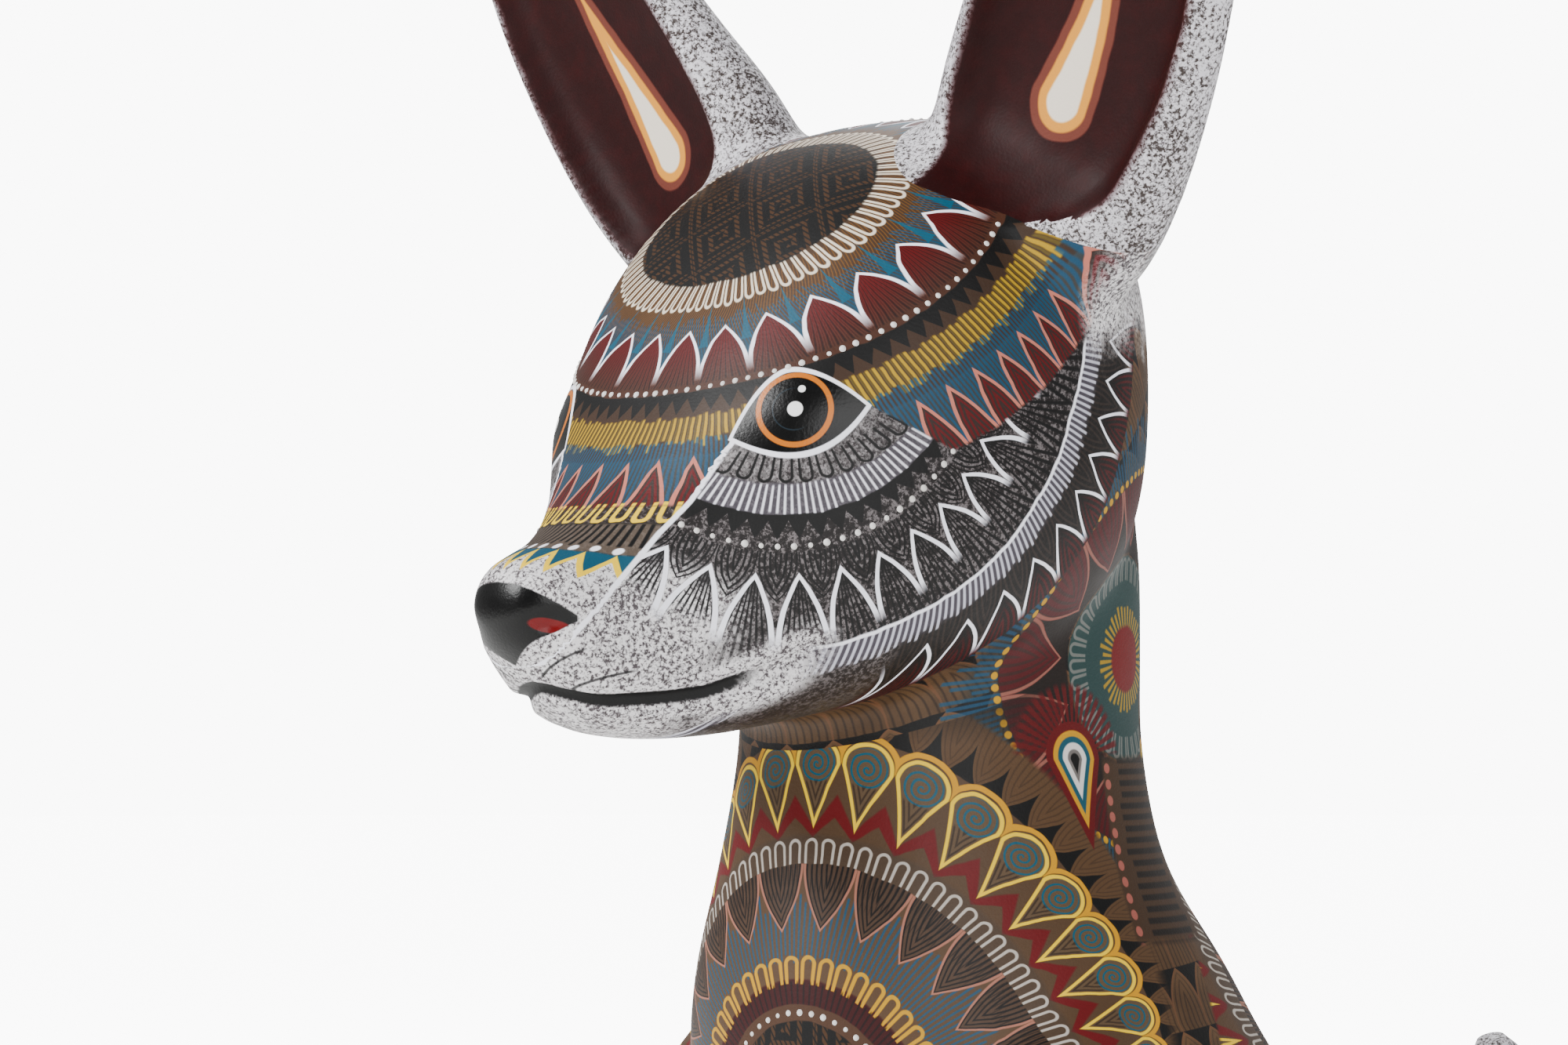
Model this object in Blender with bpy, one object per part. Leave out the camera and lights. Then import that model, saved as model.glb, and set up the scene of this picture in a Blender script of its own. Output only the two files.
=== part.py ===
"""A seated fox figure in carved copal wood, of the kind painted all over with fine brush patterns.

Metres, +Z up, the fox looking along -Y, its left side at +X, standing on Z = 0. The figure is
first blended into one carved shape, then sawn into the blocks that a workshop would glue up: the
torso, the head, two front legs and two hind legs, on dowels. The ears and the tail only plug in,
on pegs, and pull off along them.
"""

import math

import bmesh
import bpy
from mathutils import Matrix, Vector

# Overall placing: the neck's axis stands this far behind the middle of the figure's length.
NECK_AXIS_Y = -0.0331

# Fit between pieces that touch, and the grain of the carved surface.
SEAM_GAP = 0.0003
CARVE_VOXEL = 0.0034
CARVE_SMOOTHING = 4
KEPT_SHARE = 0.22
CARVE_POINTS = 40
TURNED_POINTS = 24
STEPS_PER_STATION = 4
TAIL_STEPS = 3

# The seams, as a point on the cut and the way that the cut-off piece lies.
NECK_SEAM = (Vector((0.0, 0.0, 0.1625)), Vector((0.0, -0.342, 0.940)))
EAR_SEAT = Vector((0.0331, -0.0130, 0.2323))
EAR_AXIS = Vector((0.650, -0.280, 1.000)).normalized()
EAR_FACING = Vector((math.sin(math.radians(12)), -math.cos(math.radians(12)), 0.0))
HAUNCH_SEAM = (Vector((0.0265, 0.0, 0.0)), Vector((0.977, 0.0, -0.212)))
HAUNCH_FRONT = (Vector((0.0, -0.0120, 0.0300)), Vector((0.0, 1.3, -1.0)).normalized())
LEG_SEAM_Z = 0.056
LEG_SEAM_Y = -0.0115
LEG_INNER_X = 0.003
EAR_INNER_X = 0.004

# Dowels and pegs.
NECK_DOWEL_RADIUS = 0.0050
NECK_DOWEL_LENGTH = 0.044
NECK_DOWEL_SPREAD = 0.012
LEG_DOWEL_RADIUS = 0.0035
LEG_DOWEL_LENGTH = 0.032
HAUNCH_DOWEL_RADIUS = 0.0035
HAUNCH_DOWEL_LENGTH = 0.022
HAUNCH_DOWELS = {"front": (0.030, 0.030), "rear": (0.062, 0.034)}
EAR_PEG_RADIUS = 0.0030
EAR_PEG_LENGTH = 0.028
EAR_PEG_BEHIND = 0.0042
TAIL_PEG_RADIUS = 0.0040
TAIL_PEG_LENGTH = 0.036

# The tail plugs into a shallow round seat in the rump and pulls off up and back.
TAIL_ROOT = Vector((0.0, 0.0885, 0.0340))
TAIL_PULL = Vector((0.0, math.cos(math.radians(35)), math.sin(math.radians(35))))
TAIL_ROOT_RADIUS = 0.0090
TAIL_SEAT_REACH = 0.020

# How boxy the head's sections are: 2 would make them plain ellipses.
HEAD_SQUARE = 2.6

# Stations of the head, front to back: y, lowest z, highest z, half width.
HEAD = (
    (-0.0905, 0.1690, 0.1745, 0.0035),
    (-0.0885, 0.1645, 0.1770, 0.0072),
    (-0.0840, 0.1595, 0.1788, 0.0100),
    (-0.0775, 0.1545, 0.1818, 0.0128),
    (-0.0700, 0.1525, 0.1885, 0.0165),
    (-0.0625, 0.1520, 0.1995, 0.0215),
    (-0.0540, 0.1525, 0.2145, 0.0288),
    (-0.0430, 0.1542, 0.2290, 0.0358),
    (-0.0290, 0.1568, 0.2400, 0.0405),
    (-0.0130, 0.1588, 0.2455, 0.0412),
    (0.0010, 0.1620, 0.2448, 0.0382),
    (0.0120, 0.1690, 0.2390, 0.0315),
    (0.0200, 0.1800, 0.2285, 0.0220),
    (0.0245, 0.1920, 0.2130, 0.0100),
)

# Stations of the neck and torso, top to bottom: z, middle y, half width, half depth.
TORSO = (
    (0.2280, 0.0020, 0.0170, 0.0150),
    (0.2180, 0.0000, 0.0235, 0.0240),
    (0.2000, -0.0005, 0.0275, 0.0290),
    (0.1800, 0.0000, 0.0285, 0.0325),
    (0.1650, 0.0000, 0.0285, 0.0330),
    (0.1500, 0.0000, 0.0285, 0.0335),
    (0.1330, 0.0005, 0.0315, 0.0370),
    (0.1180, 0.0045, 0.0368, 0.0440),
    (0.1050, 0.0090, 0.0400, 0.0490),
    (0.0900, 0.0170, 0.0435, 0.0545),
    (0.0750, 0.0250, 0.0455, 0.0570),
    (0.0620, 0.0350, 0.0460, 0.0530),
    (0.0480, 0.0450, 0.0455, 0.0470),
    (0.0300, 0.0510, 0.0430, 0.0430),
    (0.0120, 0.0520, 0.0400, 0.0400),
    (-0.0060, 0.0520, 0.0350, 0.0350),
)

# Stations of the left front leg, shoulder to ground: z, middle x, middle y, half width, half depth.
FRONT_LEG = (
    (0.1120, 0.0300, -0.0020, 0.0090, 0.0140),
    (0.0960, 0.0290, -0.0110, 0.0145, 0.0200),
    (0.0760, 0.0260, -0.0200, 0.0145, 0.0165),
    (0.0560, 0.0235, -0.0255, 0.0122, 0.0128),
    (0.0360, 0.0225, -0.0280, 0.0108, 0.0112),
    (0.0200, 0.0225, -0.0300, 0.0112, 0.0125),
    (0.0110, 0.0225, -0.0350, 0.0125, 0.0180),
    (0.0040, 0.0225, -0.0370, 0.0130, 0.0195),
    (-0.0060, 0.0225, -0.0365, 0.0115, 0.0175),
)

# Stations of the left haunch, front to back: y, middle x, middle z, half width, half height.
HAUNCH = (
    (-0.0010, 0.0375, 0.0320, 0.0050, 0.0080),
    (0.0070, 0.0370, 0.0345, 0.0125, 0.0210),
    (0.0220, 0.0360, 0.0380, 0.0175, 0.0330),
    (0.0420, 0.0350, 0.0420, 0.0195, 0.0400),
    (0.0620, 0.0320, 0.0400, 0.0190, 0.0370),
    (0.0790, 0.0270, 0.0340, 0.0155, 0.0270),
    (0.0890, 0.0220, 0.0280, 0.0080, 0.0130),
)

# Stations of the left hind foot, toe to heel: y, middle x, middle z, half width, half height.
HIND_FOOT = (
    (-0.0085, 0.0410, 0.0045, 0.0060, 0.0045),
    (-0.0040, 0.0410, 0.0050, 0.0110, 0.0085),
    (0.0080, 0.0405, 0.0055, 0.0120, 0.0110),
    (0.0250, 0.0400, 0.0060, 0.0110, 0.0120),
    (0.0430, 0.0390, 0.0060, 0.0090, 0.0120),
)

# Stations of the left ear, root to tip: middle x, y and z, half width, half thickness.
EAR = (
    (0.0240, -0.0090, 0.2180, 0.0120, 0.0100),
    (0.0300, -0.0115, 0.2270, 0.0185, 0.0125),
    (0.0370, -0.0145, 0.2385, 0.0218, 0.0120),
    (0.0450, -0.0180, 0.2500, 0.0222, 0.0108),
    (0.0525, -0.0212, 0.2625, 0.0213, 0.0096),
    (0.0598, -0.0242, 0.2765, 0.0193, 0.0085),
    (0.0665, -0.0268, 0.2910, 0.0155, 0.0070),
    (0.0702, -0.0285, 0.3035, 0.0105, 0.0054),
    (0.0720, -0.0297, 0.3135, 0.0058, 0.0038),
    (0.0727, -0.0304, 0.3195, 0.0022, 0.0022),
)

# Stations of the ear's bowl: z on the ear's middle line, half width, how deep it is hollowed.
EAR_BOWL = (
    (0.2345, 0.0040, 0.0015),
    (0.2365, 0.0100, 0.0045),
    (0.2420, 0.0155, 0.0088),
    (0.2520, 0.0172, 0.0100),
    (0.2650, 0.0162, 0.0090),
    (0.2790, 0.0135, 0.0072),
    (0.2920, 0.0095, 0.0052),
    (0.3050, 0.0035, 0.0022),
)
BOWL_STANDS_PROUD = 0.012

# Stations of the tail after its root: y, z, half width, half thickness.
TAIL = (
    (0.1000, 0.0425, 0.0088, 0.0088),
    (0.1160, 0.0490, 0.0128, 0.0125),
    (0.1330, 0.0590, 0.0148, 0.0140),
    (0.1430, 0.0740, 0.0138, 0.0130),
    (0.1445, 0.0890, 0.0090, 0.0085),
    (0.1410, 0.0990, 0.0025, 0.0025),
)

WOOD = {
    "painted_wood": ((0.26, 0.19, 0.15), 0.55),
    "ear_paint": ((0.16, 0.03, 0.03), 0.45),
    "peg_wood": ((0.72, 0.56, 0.36), 0.70),
}


def clear_scene():
    for thing in list(bpy.data.objects):
        bpy.data.objects.remove(thing)


def material(slot):
    """The Principled BSDF material of one finish."""
    found = bpy.data.materials.get(slot)
    if found:
        return found
    colour, roughness = WOOD[slot]
    made = bpy.data.materials.new(slot)
    made.use_nodes = True
    shader = made.node_tree.nodes["Principled BSDF"]
    shader.inputs["Base Color"].default_value = (*colour, 1.0)
    shader.inputs["Roughness"].default_value = roughness
    shader.inputs["Metallic"].default_value = 0.0
    return made


def add_object(name, mesh, slot=None):
    """An object for this mesh. Without a finish it is a helper, which no render shows."""
    thing = bpy.data.objects.new(name, mesh)
    bpy.context.scene.collection.objects.link(thing)
    if slot:
        mesh.materials.clear()
        mesh.materials.append(material(slot))
    else:
        thing.hide_render = True
        thing.display_type = "WIRE"
    return thing


def between(rows, steps=STEPS_PER_STATION):
    """Rows of numbers with a smooth Catmull-Rom curve run through them."""
    padded = [rows[0], *rows, rows[-1]]
    smooth = []
    for a, b, c, d in zip(padded, padded[1:], padded[2:], padded[3:]):
        for step in range(steps):
            t = step / steps
            smooth.append(
                tuple(
                    0.5 * (2 * q + (r - p) * t + (2 * p - 5 * q + 4 * r - s) * t**2
                           + (3 * q - p - 3 * r + s) * t**3)
                    for p, q, r, s in zip(a, b, c, d)
                )
            )
    smooth.append(tuple(rows[-1]))
    return smooth


def ring(centre, across, along, half_across, half_along, points=CARVE_POINTS, square=2.0):
    """Points round a centre, from two directions and half sizes. Over 2, square is boxier."""
    made = []
    for k in range(points):
        turn = 2 * math.pi * k / points
        c, s = math.cos(turn), math.sin(turn)
        reach = (abs(c) ** square + abs(s) ** square) ** (-1 / square)
        made.append(centre + across * (half_across * c * reach) + along * (half_along * s * reach))
    return made


def loft(name, rings, slot=None):
    """A closed solid through these rings of points."""
    shell = bmesh.new()
    loops = []
    for points in rings:
        corners = [shell.verts.new(point) for point in points]
        loops.append([shell.edges.new((corners[k - 1], corners[k])) for k in range(len(corners))])
    for first, second in zip(loops, loops[1:]):
        bmesh.ops.bridge_loops(shell, edges=first + second)
    bmesh.ops.holes_fill(shell, edges=shell.edges, sides=0)
    bmesh.ops.recalc_face_normals(shell, faces=shell.faces)
    mesh = bpy.data.meshes.new(name)
    shell.to_mesh(mesh)
    shell.free()
    return add_object(name, mesh, slot)


X, Y, Z = Vector((1, 0, 0)), Vector((0, 1, 0)), Vector((0, 0, 1))


def head_shape():
    rings = [
        ring(Vector((0, y, (low + high) / 2)), X, Z, half, (high - low) / 2, square=HEAD_SQUARE)
        for y, low, high, half in between(HEAD)
    ]
    return loft("head_shape", rings)


def torso_shape():
    rings = [ring(Vector((0, y, z)), X, Y, wide, deep) for z, y, wide, deep in between(TORSO)]
    return loft("torso_shape", rings)


def front_leg_shape(side):
    rings = [
        ring(Vector((side * x, y, z)), X, Y, wide, deep)
        for z, x, y, wide, deep in between(FRONT_LEG)
    ]
    return loft("front_leg_shape", rings)


def lengthwise_shape(name, stations, side):
    """A haunch or a hind foot, whose stations run along Y."""
    rings = [
        ring(Vector((side * x, y, z)), X, Z, wide, high)
        for y, x, z, wide, high in between(stations)
    ]
    return loft(name, rings)


def ear_frame(side):
    """The ear's seat, its axis there, and the way its bowl faces."""
    seat, axis, facing = EAR_SEAT.copy(), EAR_AXIS.copy(), EAR_FACING.copy()
    for vector in (seat, axis, facing):
        vector.x *= side
    return seat, axis, (facing - axis * facing.dot(axis)).normalized()


def ear_sections(side):
    """Sections along the ear's curved middle line: centre, across, facing, half sizes."""
    smooth = between(EAR)
    middles = [Vector((side * x, y, z)) for x, y, z, _, _ in smooth]
    sections = []
    for k, (_, _, _, wide, thick) in enumerate(smooth):
        ahead, behind = middles[min(k + 1, len(middles) - 1)], middles[max(k - 1, 0)]
        axis = (ahead - behind).normalized()
        facing = Vector((side * EAR_FACING.x, EAR_FACING.y, 0))
        facing = (facing - axis * facing.dot(axis)).normalized()
        sections.append((middles[k], axis.cross(facing), facing, wide, thick))
    return sections


def ear_shape(side):
    return loft("ear_shape", [ring(*section) for section in ear_sections(side)])


def ear_bowl_cutter(side):
    """The hollow of the ear: each ring dips into the ear's front by its stated depth."""
    sections = ear_sections(side)
    rings = []
    for z, wide, deep in between(EAR_BOWL):
        middle, across, facing, _, thick = min(sections, key=lambda one: abs(one[0].z - z))
        upper = min(sections, key=lambda one: abs(one[0].z - z - 0.004))
        along = (upper[0] - middle).normalized() if upper is not middle else Vector((0, 0, 1))
        centre = middle + along * ((z - middle.z) / max(along.z, 0.2))
        centre = centre + facing * (thick + BOWL_STANDS_PROUD)
        rings.append(ring(centre, across, facing, wide, deep + BOWL_STANDS_PROUD))
    return loft("ear_bowl_cutter", rings)


def cylinder(name, start, direction, length, radius, slot=None):
    """A round rod from a start point along a direction."""
    side = direction.orthogonal().normalized()
    up = direction.cross(side)
    rings = [
        ring(start + direction * reach, side, up, radius, radius, TURNED_POINTS)
        for reach in (0, length)
    ]
    return loft(name, rings, slot)


def block(name, low, high, placing=None):
    """A box cutter between two corners, moved by a matrix."""
    mesh = bpy.data.meshes.new(name)
    box = bmesh.new()
    bmesh.ops.create_cube(box, size=1.0)
    low, high = Vector(low), Vector(high)
    size = Matrix.Diagonal((*(high - low), 1.0))
    box.transform((placing or Matrix()) @ Matrix.Translation((low + high) / 2) @ size)
    box.to_mesh(mesh)
    box.free()
    return add_object(name, mesh)


def side_of_plane(name, point, normal, shift, reach=0.4):
    """A large box that fills one side of a plane, from shift beyond it."""
    placing = Matrix.Translation(point) @ normal.to_track_quat("Z", "Y").to_matrix().to_4x4()
    return block(name, (-reach, -reach, shift), (reach, reach, shift + 2 * reach), placing)


def boolean(target, cutter, operation):
    cut = target.modifiers.new(cutter.name, "BOOLEAN")
    cut.operation = operation
    cut.object = cutter


def mirrored(plane, side):
    """A seam's point and direction on the left or the right."""
    point, normal = plane[0].copy(), plane[1].normalized()
    point.x *= side
    normal.x *= side
    return point, normal


def carved_figure():
    """The whole fox but its tail as one blended shape with flat feet, as a mesh."""
    shapes = [head_shape(), torso_shape()]
    for side in (1, -1):
        shapes.append(front_leg_shape(side))
        shapes.append(lengthwise_shape("haunch_shape", HAUNCH, side))
        shapes.append(lengthwise_shape("hind_foot_shape", HIND_FOOT, side))
        shapes.append(ear_shape(side))
    joined = bmesh.new()
    for shape in shapes:
        joined.from_mesh(shape.data)
        bpy.data.objects.remove(shape)
    mesh = bpy.data.meshes.new("carved_figure")
    joined.to_mesh(mesh)
    joined.free()
    figure = add_object("carved_figure", mesh)
    remesh = figure.modifiers.new("blend", "REMESH")
    remesh.mode = "VOXEL"
    remesh.voxel_size = CARVE_VOXEL
    smooth = figure.modifiers.new("sand", "SMOOTH")
    smooth.factor = 0.5
    smooth.iterations = CARVE_SMOOTHING
    lighter = figure.modifiers.new("facets", "DECIMATE")
    lighter.ratio = KEPT_SHARE
    lighter.use_symmetry = True
    lighter.symmetry_axis = "X"
    boolean(figure, side_of_plane("ground_block", Vector(), -Z, 0.0), "DIFFERENCE")
    graph = bpy.context.evaluated_depsgraph_get()
    carved = bpy.data.meshes.new_from_object(figure.evaluated_get(graph))
    bpy.data.objects.remove(figure)
    return carved


def sawn(name, carved, keep=(), remove=(), slot="painted_wood"):
    """One block of the figure: what the keep cutters share, less what the others take."""
    piece = add_object(name, carved.copy(), slot)
    for cutter in keep:
        boolean(piece, cutter, "INTERSECT")
    for cutter in remove:
        boolean(piece, cutter, "DIFFERENCE")
    return piece


def pinned(name, start, direction, length, radius, hosts):
    """A dowel, and its hole, a gap wider and longer, in each of the pieces that it joins."""
    direction = direction.normalized()
    hole = cylinder(
        name + "_hole",
        start - direction * SEAM_GAP,
        direction,
        length + 2 * SEAM_GAP,
        radius + SEAM_GAP,
    )
    for host in hosts:
        boolean(host, hole, "DIFFERENCE")
    return cylinder(name, start, direction, length, radius, "peg_wood")


def seam_blocks(name, point, normal):
    """Two boxes on the same side of a seam: one to keep a piece, one, a gap larger, to remove it."""
    return (
        side_of_plane(name + "_keep", point, normal, SEAM_GAP / 2),
        side_of_plane(name + "_remove", point, normal, -SEAM_GAP / 2),
    )


def leg_blocks(side):
    """The boxes round a front leg below its seam."""
    made = []
    for name, grow in (("leg_keep", -SEAM_GAP / 2), ("leg_remove", SEAM_GAP / 2)):
        inner, outer = LEG_INNER_X - grow, 0.08
        xs = sorted((side * inner, side * outer))
        made.append(
            block(name, (xs[0], -0.12, -0.01), (xs[1], LEG_SEAM_Y + grow, LEG_SEAM_Z + grow))
        )
    return made


def ear_blocks(side):
    """The boxes above an ear's seat, on its own side of the head."""
    seat, axis, _ = ear_frame(side)
    made = []
    for name, shift in (("ear_keep", SEAM_GAP / 2), ("ear_remove", -SEAM_GAP / 2)):
        half = side_of_plane(name, seat, axis, shift)
        own_side = sorted((side * EAR_INNER_X, side * 0.2))
        boolean(
            half,
            block(name + "_side", (own_side[0], -0.2, 0.1), (own_side[1], 0.2, 0.5)),
            "INTERSECT",
        )
        made.append(half)
    return made


def haunch_blocks(side):
    """The boxes outside a haunch's seam, behind the front leg and the elbow."""
    point, normal = mirrored(HAUNCH_SEAM, side)
    made = []
    for name, shift in (("haunch_keep", SEAM_GAP / 2), ("haunch_remove", -SEAM_GAP / 2)):
        half = side_of_plane(name, point, normal, shift)
        front = LEG_SEAM_Y + SEAM_GAP / 2
        boolean(half, block(name + "_reach", (-0.2, front, -0.01), (0.2, 0.2, 0.13)), "INTERSECT")
        boolean(half, side_of_plane(name + "_front", *HAUNCH_FRONT, shift), "INTERSECT")
        made.append(half)
    return made


def tail_piece():
    """The tail, from its flat root in the seat out along the pull and up to its tip."""
    rows = [(TAIL_ROOT.y, TAIL_ROOT.z, TAIL_ROOT_RADIUS, TAIL_ROOT_RADIUS), *TAIL]
    smooth = between(rows, TAIL_STEPS)
    middles = [Vector((0, y, z)) for y, z, _, _ in smooth]
    rings = []
    for k, (_, _, wide, thick) in enumerate(smooth):
        if k == 0:
            heading = TAIL_PULL
        else:
            heading = (middles[min(k + 1, len(middles) - 1)] - middles[k - 1]).normalized()
        rings.append(ring(middles[k], X, heading.cross(X), wide, thick, TURNED_POINTS))
    return loft("tail", rings, "painted_wood")


def build():
    clear_scene()
    carved = carved_figure()
    head_keep, head_remove = seam_blocks("neck_seam", *NECK_SEAM)

    legs, haunches, ears = {}, {}, {}
    for label, side in (("left", 1), ("right", -1)):
        legs[label] = leg_blocks(side)
        haunches[label] = haunch_blocks(side)
        ears[label] = ear_blocks(side)

    taken = [head_remove]
    taken += [legs[label][1] for label in legs] + [haunches[label][1] for label in haunches]
    torso = sawn("torso", carved, remove=taken)
    head = sawn("head", carved, [head_keep], [ears[label][1] for label in ears])

    # Neck: two dowels across the seam, one before the other.
    point, normal = NECK_SEAM
    for label, shift in (("front", -NECK_DOWEL_SPREAD), ("rear", NECK_DOWEL_SPREAD)):
        middle = point + X.cross(normal) * -shift
        start = middle - normal * (NECK_DOWEL_LENGTH / 2)
        pinned(f"neck_dowel_{label}", start, normal, NECK_DOWEL_LENGTH,
               NECK_DOWEL_RADIUS, (torso, head))

    for label, side in (("left", 1), ("right", -1)):
        # Front leg: one upright dowel into the shoulder.
        leg = sawn(f"front_leg_{label}", carved, [legs[label][0]])
        start = Vector((side * FRONT_LEG[3][1], FRONT_LEG[3][2], LEG_SEAM_Z - LEG_DOWEL_LENGTH / 2))
        pinned(f"front_leg_dowel_{label}", start, Z, LEG_DOWEL_LENGTH,
               LEG_DOWEL_RADIUS, (leg, torso))

        # Hind leg: two dowels square to its seam.
        hind = sawn(f"hind_leg_{label}", carved, [haunches[label][0]])
        point, normal = mirrored(HAUNCH_SEAM, side)
        slope = Vector((-normal.z * side, 0, abs(normal.x)))
        for place, (y, height) in HAUNCH_DOWELS.items():
            middle = point + slope * height + Y * y
            pinned(f"hind_leg_dowel_{place}_{label}", middle - normal * (HAUNCH_DOWEL_LENGTH / 2),
                   normal, HAUNCH_DOWEL_LENGTH, HAUNCH_DOWEL_RADIUS, (hind, torso))

        # Ear: hollowed in front, on one peg behind the bowl.
        seat, axis, facing = ear_frame(side)
        ear = sawn(f"ear_{label}", carved, [ears[label][0]], slot="ear_paint")
        boolean(ear, ear_bowl_cutter(side), "DIFFERENCE")
        start = seat - facing * EAR_PEG_BEHIND - axis * (EAR_PEG_LENGTH / 2)
        pinned(f"ear_peg_{label}", start, axis, EAR_PEG_LENGTH, EAR_PEG_RADIUS, (ear, head))

    # Tail: its root in a round seat, a gap wider, with a peg on into the rump.
    tail = tail_piece()
    seat = cylinder("tail_seat", TAIL_ROOT - TAIL_PULL * SEAM_GAP, TAIL_PULL,
                    TAIL_SEAT_REACH, TAIL_ROOT_RADIUS + 2 * SEAM_GAP)
    boolean(torso, seat, "DIFFERENCE")
    pinned("tail_peg", TAIL_ROOT - TAIL_PULL * (TAIL_PEG_LENGTH / 2), TAIL_PULL,
           TAIL_PEG_LENGTH, TAIL_PEG_RADIUS, (tail, torso))

    # Everything stands off the neck's axis, so that the origin is under the figure's middle.
    figure = bpy.data.objects.new("fox_figure", None)
    bpy.context.scene.collection.objects.link(figure)
    figure.location = (0, NECK_AXIS_Y, 0)
    for thing in list(bpy.context.scene.objects):
        if thing is not figure:
            thing.parent = figure


build()
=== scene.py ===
"""A seated fox carved in copal wood and painted all over with fine brush patterns.

The carving is blended from the same sections that the blocks were sawn from, cut along the same
seams, and painted with rows of petals, loops, dots, saw teeth and brushed lines that run in rings
round the crown, the eyes, the breast, the shoulders and the haunches.
"""

import inspect
import math

import bmesh
import bpy
import numpy as np
from bpy.props import FloatProperty, FloatVectorProperty, IntProperty, PointerProperty
from mathutils import Matrix, Vector
from mathutils.bvhtree import BVHTree


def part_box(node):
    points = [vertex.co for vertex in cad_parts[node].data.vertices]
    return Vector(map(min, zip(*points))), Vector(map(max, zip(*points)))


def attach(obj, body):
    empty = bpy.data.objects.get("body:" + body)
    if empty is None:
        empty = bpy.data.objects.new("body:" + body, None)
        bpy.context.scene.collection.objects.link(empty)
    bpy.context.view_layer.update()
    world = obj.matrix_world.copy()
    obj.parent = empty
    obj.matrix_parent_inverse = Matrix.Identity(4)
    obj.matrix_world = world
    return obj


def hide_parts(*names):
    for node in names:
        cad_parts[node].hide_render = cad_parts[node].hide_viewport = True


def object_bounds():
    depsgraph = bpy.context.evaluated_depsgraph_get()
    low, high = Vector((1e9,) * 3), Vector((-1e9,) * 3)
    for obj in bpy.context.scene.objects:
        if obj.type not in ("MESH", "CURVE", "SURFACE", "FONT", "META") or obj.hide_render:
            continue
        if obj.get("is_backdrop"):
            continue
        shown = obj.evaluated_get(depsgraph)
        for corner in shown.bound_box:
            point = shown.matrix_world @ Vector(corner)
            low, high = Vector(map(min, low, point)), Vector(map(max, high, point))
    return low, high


bl_info = {
    "name": "Carved fox",
    "version": (1, 0, 0),
    "blender": (4, 5, 0),
    "location": "3D View > Sidebar > Carved fox",
    "description": "Carves and paints a seated fox figure round its packed frame",
    "category": "Object",
}

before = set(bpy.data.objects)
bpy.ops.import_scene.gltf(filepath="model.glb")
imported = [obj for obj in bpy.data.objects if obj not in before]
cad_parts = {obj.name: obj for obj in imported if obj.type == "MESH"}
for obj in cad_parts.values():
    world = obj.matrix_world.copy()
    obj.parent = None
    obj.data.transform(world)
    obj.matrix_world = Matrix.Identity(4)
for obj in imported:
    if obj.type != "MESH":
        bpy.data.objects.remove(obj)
CAD_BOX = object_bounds()

# The sections below stand off the neck's axis, and the frame off the figure's middle. The neck
# dowels sit on that axis, so they say how far apart the two are.
NECK_Y = sum(corner.y for name in ("front", "rear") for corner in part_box(f"neck_dowel_{name}")) / 4
MM = 1000.0

# ---------------------------------------------------------------------------------------------
# Sections of the carving, in metres, about the neck's axis.
# ---------------------------------------------------------------------------------------------

HEAD_SQUARE = 2.6
HEAD = (  # y, lowest z, highest z, half width
    (-0.0905, 0.1690, 0.1745, 0.0035),
    (-0.0885, 0.1645, 0.1770, 0.0072),
    (-0.0840, 0.1595, 0.1788, 0.0100),
    (-0.0775, 0.1545, 0.1818, 0.0128),
    (-0.0700, 0.1525, 0.1885, 0.0165),
    (-0.0625, 0.1520, 0.1995, 0.0215),
    (-0.0540, 0.1525, 0.2145, 0.0288),
    (-0.0430, 0.1542, 0.2290, 0.0358),
    (-0.0290, 0.1568, 0.2400, 0.0405),
    (-0.0130, 0.1588, 0.2455, 0.0412),
    (0.0010, 0.1620, 0.2448, 0.0382),
    (0.0120, 0.1690, 0.2390, 0.0315),
    (0.0200, 0.1800, 0.2285, 0.0220),
    (0.0245, 0.1920, 0.2130, 0.0100),
)
TORSO = (  # z, middle y, half width, half depth
    (0.2280, 0.0020, 0.0170, 0.0150),
    (0.2180, 0.0000, 0.0235, 0.0240),
    (0.2000, -0.0005, 0.0275, 0.0290),
    (0.1800, 0.0000, 0.0285, 0.0325),
    (0.1650, 0.0000, 0.0285, 0.0330),
    (0.1500, 0.0000, 0.0285, 0.0335),
    (0.1330, 0.0005, 0.0315, 0.0370),
    (0.1180, 0.0045, 0.0368, 0.0440),
    (0.1050, 0.0090, 0.0400, 0.0490),
    (0.0900, 0.0170, 0.0435, 0.0545),
    (0.0750, 0.0250, 0.0455, 0.0570),
    (0.0620, 0.0350, 0.0460, 0.0530),
    (0.0480, 0.0450, 0.0455, 0.0470),
    (0.0300, 0.0510, 0.0430, 0.0430),
    (0.0120, 0.0520, 0.0400, 0.0400),
    (-0.0060, 0.0520, 0.0350, 0.0350),
)
FRONT_LEG = (  # z, middle x, middle y, half width, half depth
    (0.1120, 0.0300, -0.0020, 0.0090, 0.0140),
    (0.0960, 0.0290, -0.0110, 0.0145, 0.0200),
    (0.0760, 0.0260, -0.0200, 0.0145, 0.0165),
    (0.0560, 0.0235, -0.0255, 0.0122, 0.0128),
    (0.0360, 0.0225, -0.0280, 0.0108, 0.0112),
    (0.0200, 0.0225, -0.0300, 0.0112, 0.0125),
    (0.0110, 0.0225, -0.0350, 0.0125, 0.0180),
    (0.0040, 0.0225, -0.0370, 0.0130, 0.0195),
    (-0.0060, 0.0225, -0.0365, 0.0115, 0.0175),
)
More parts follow.
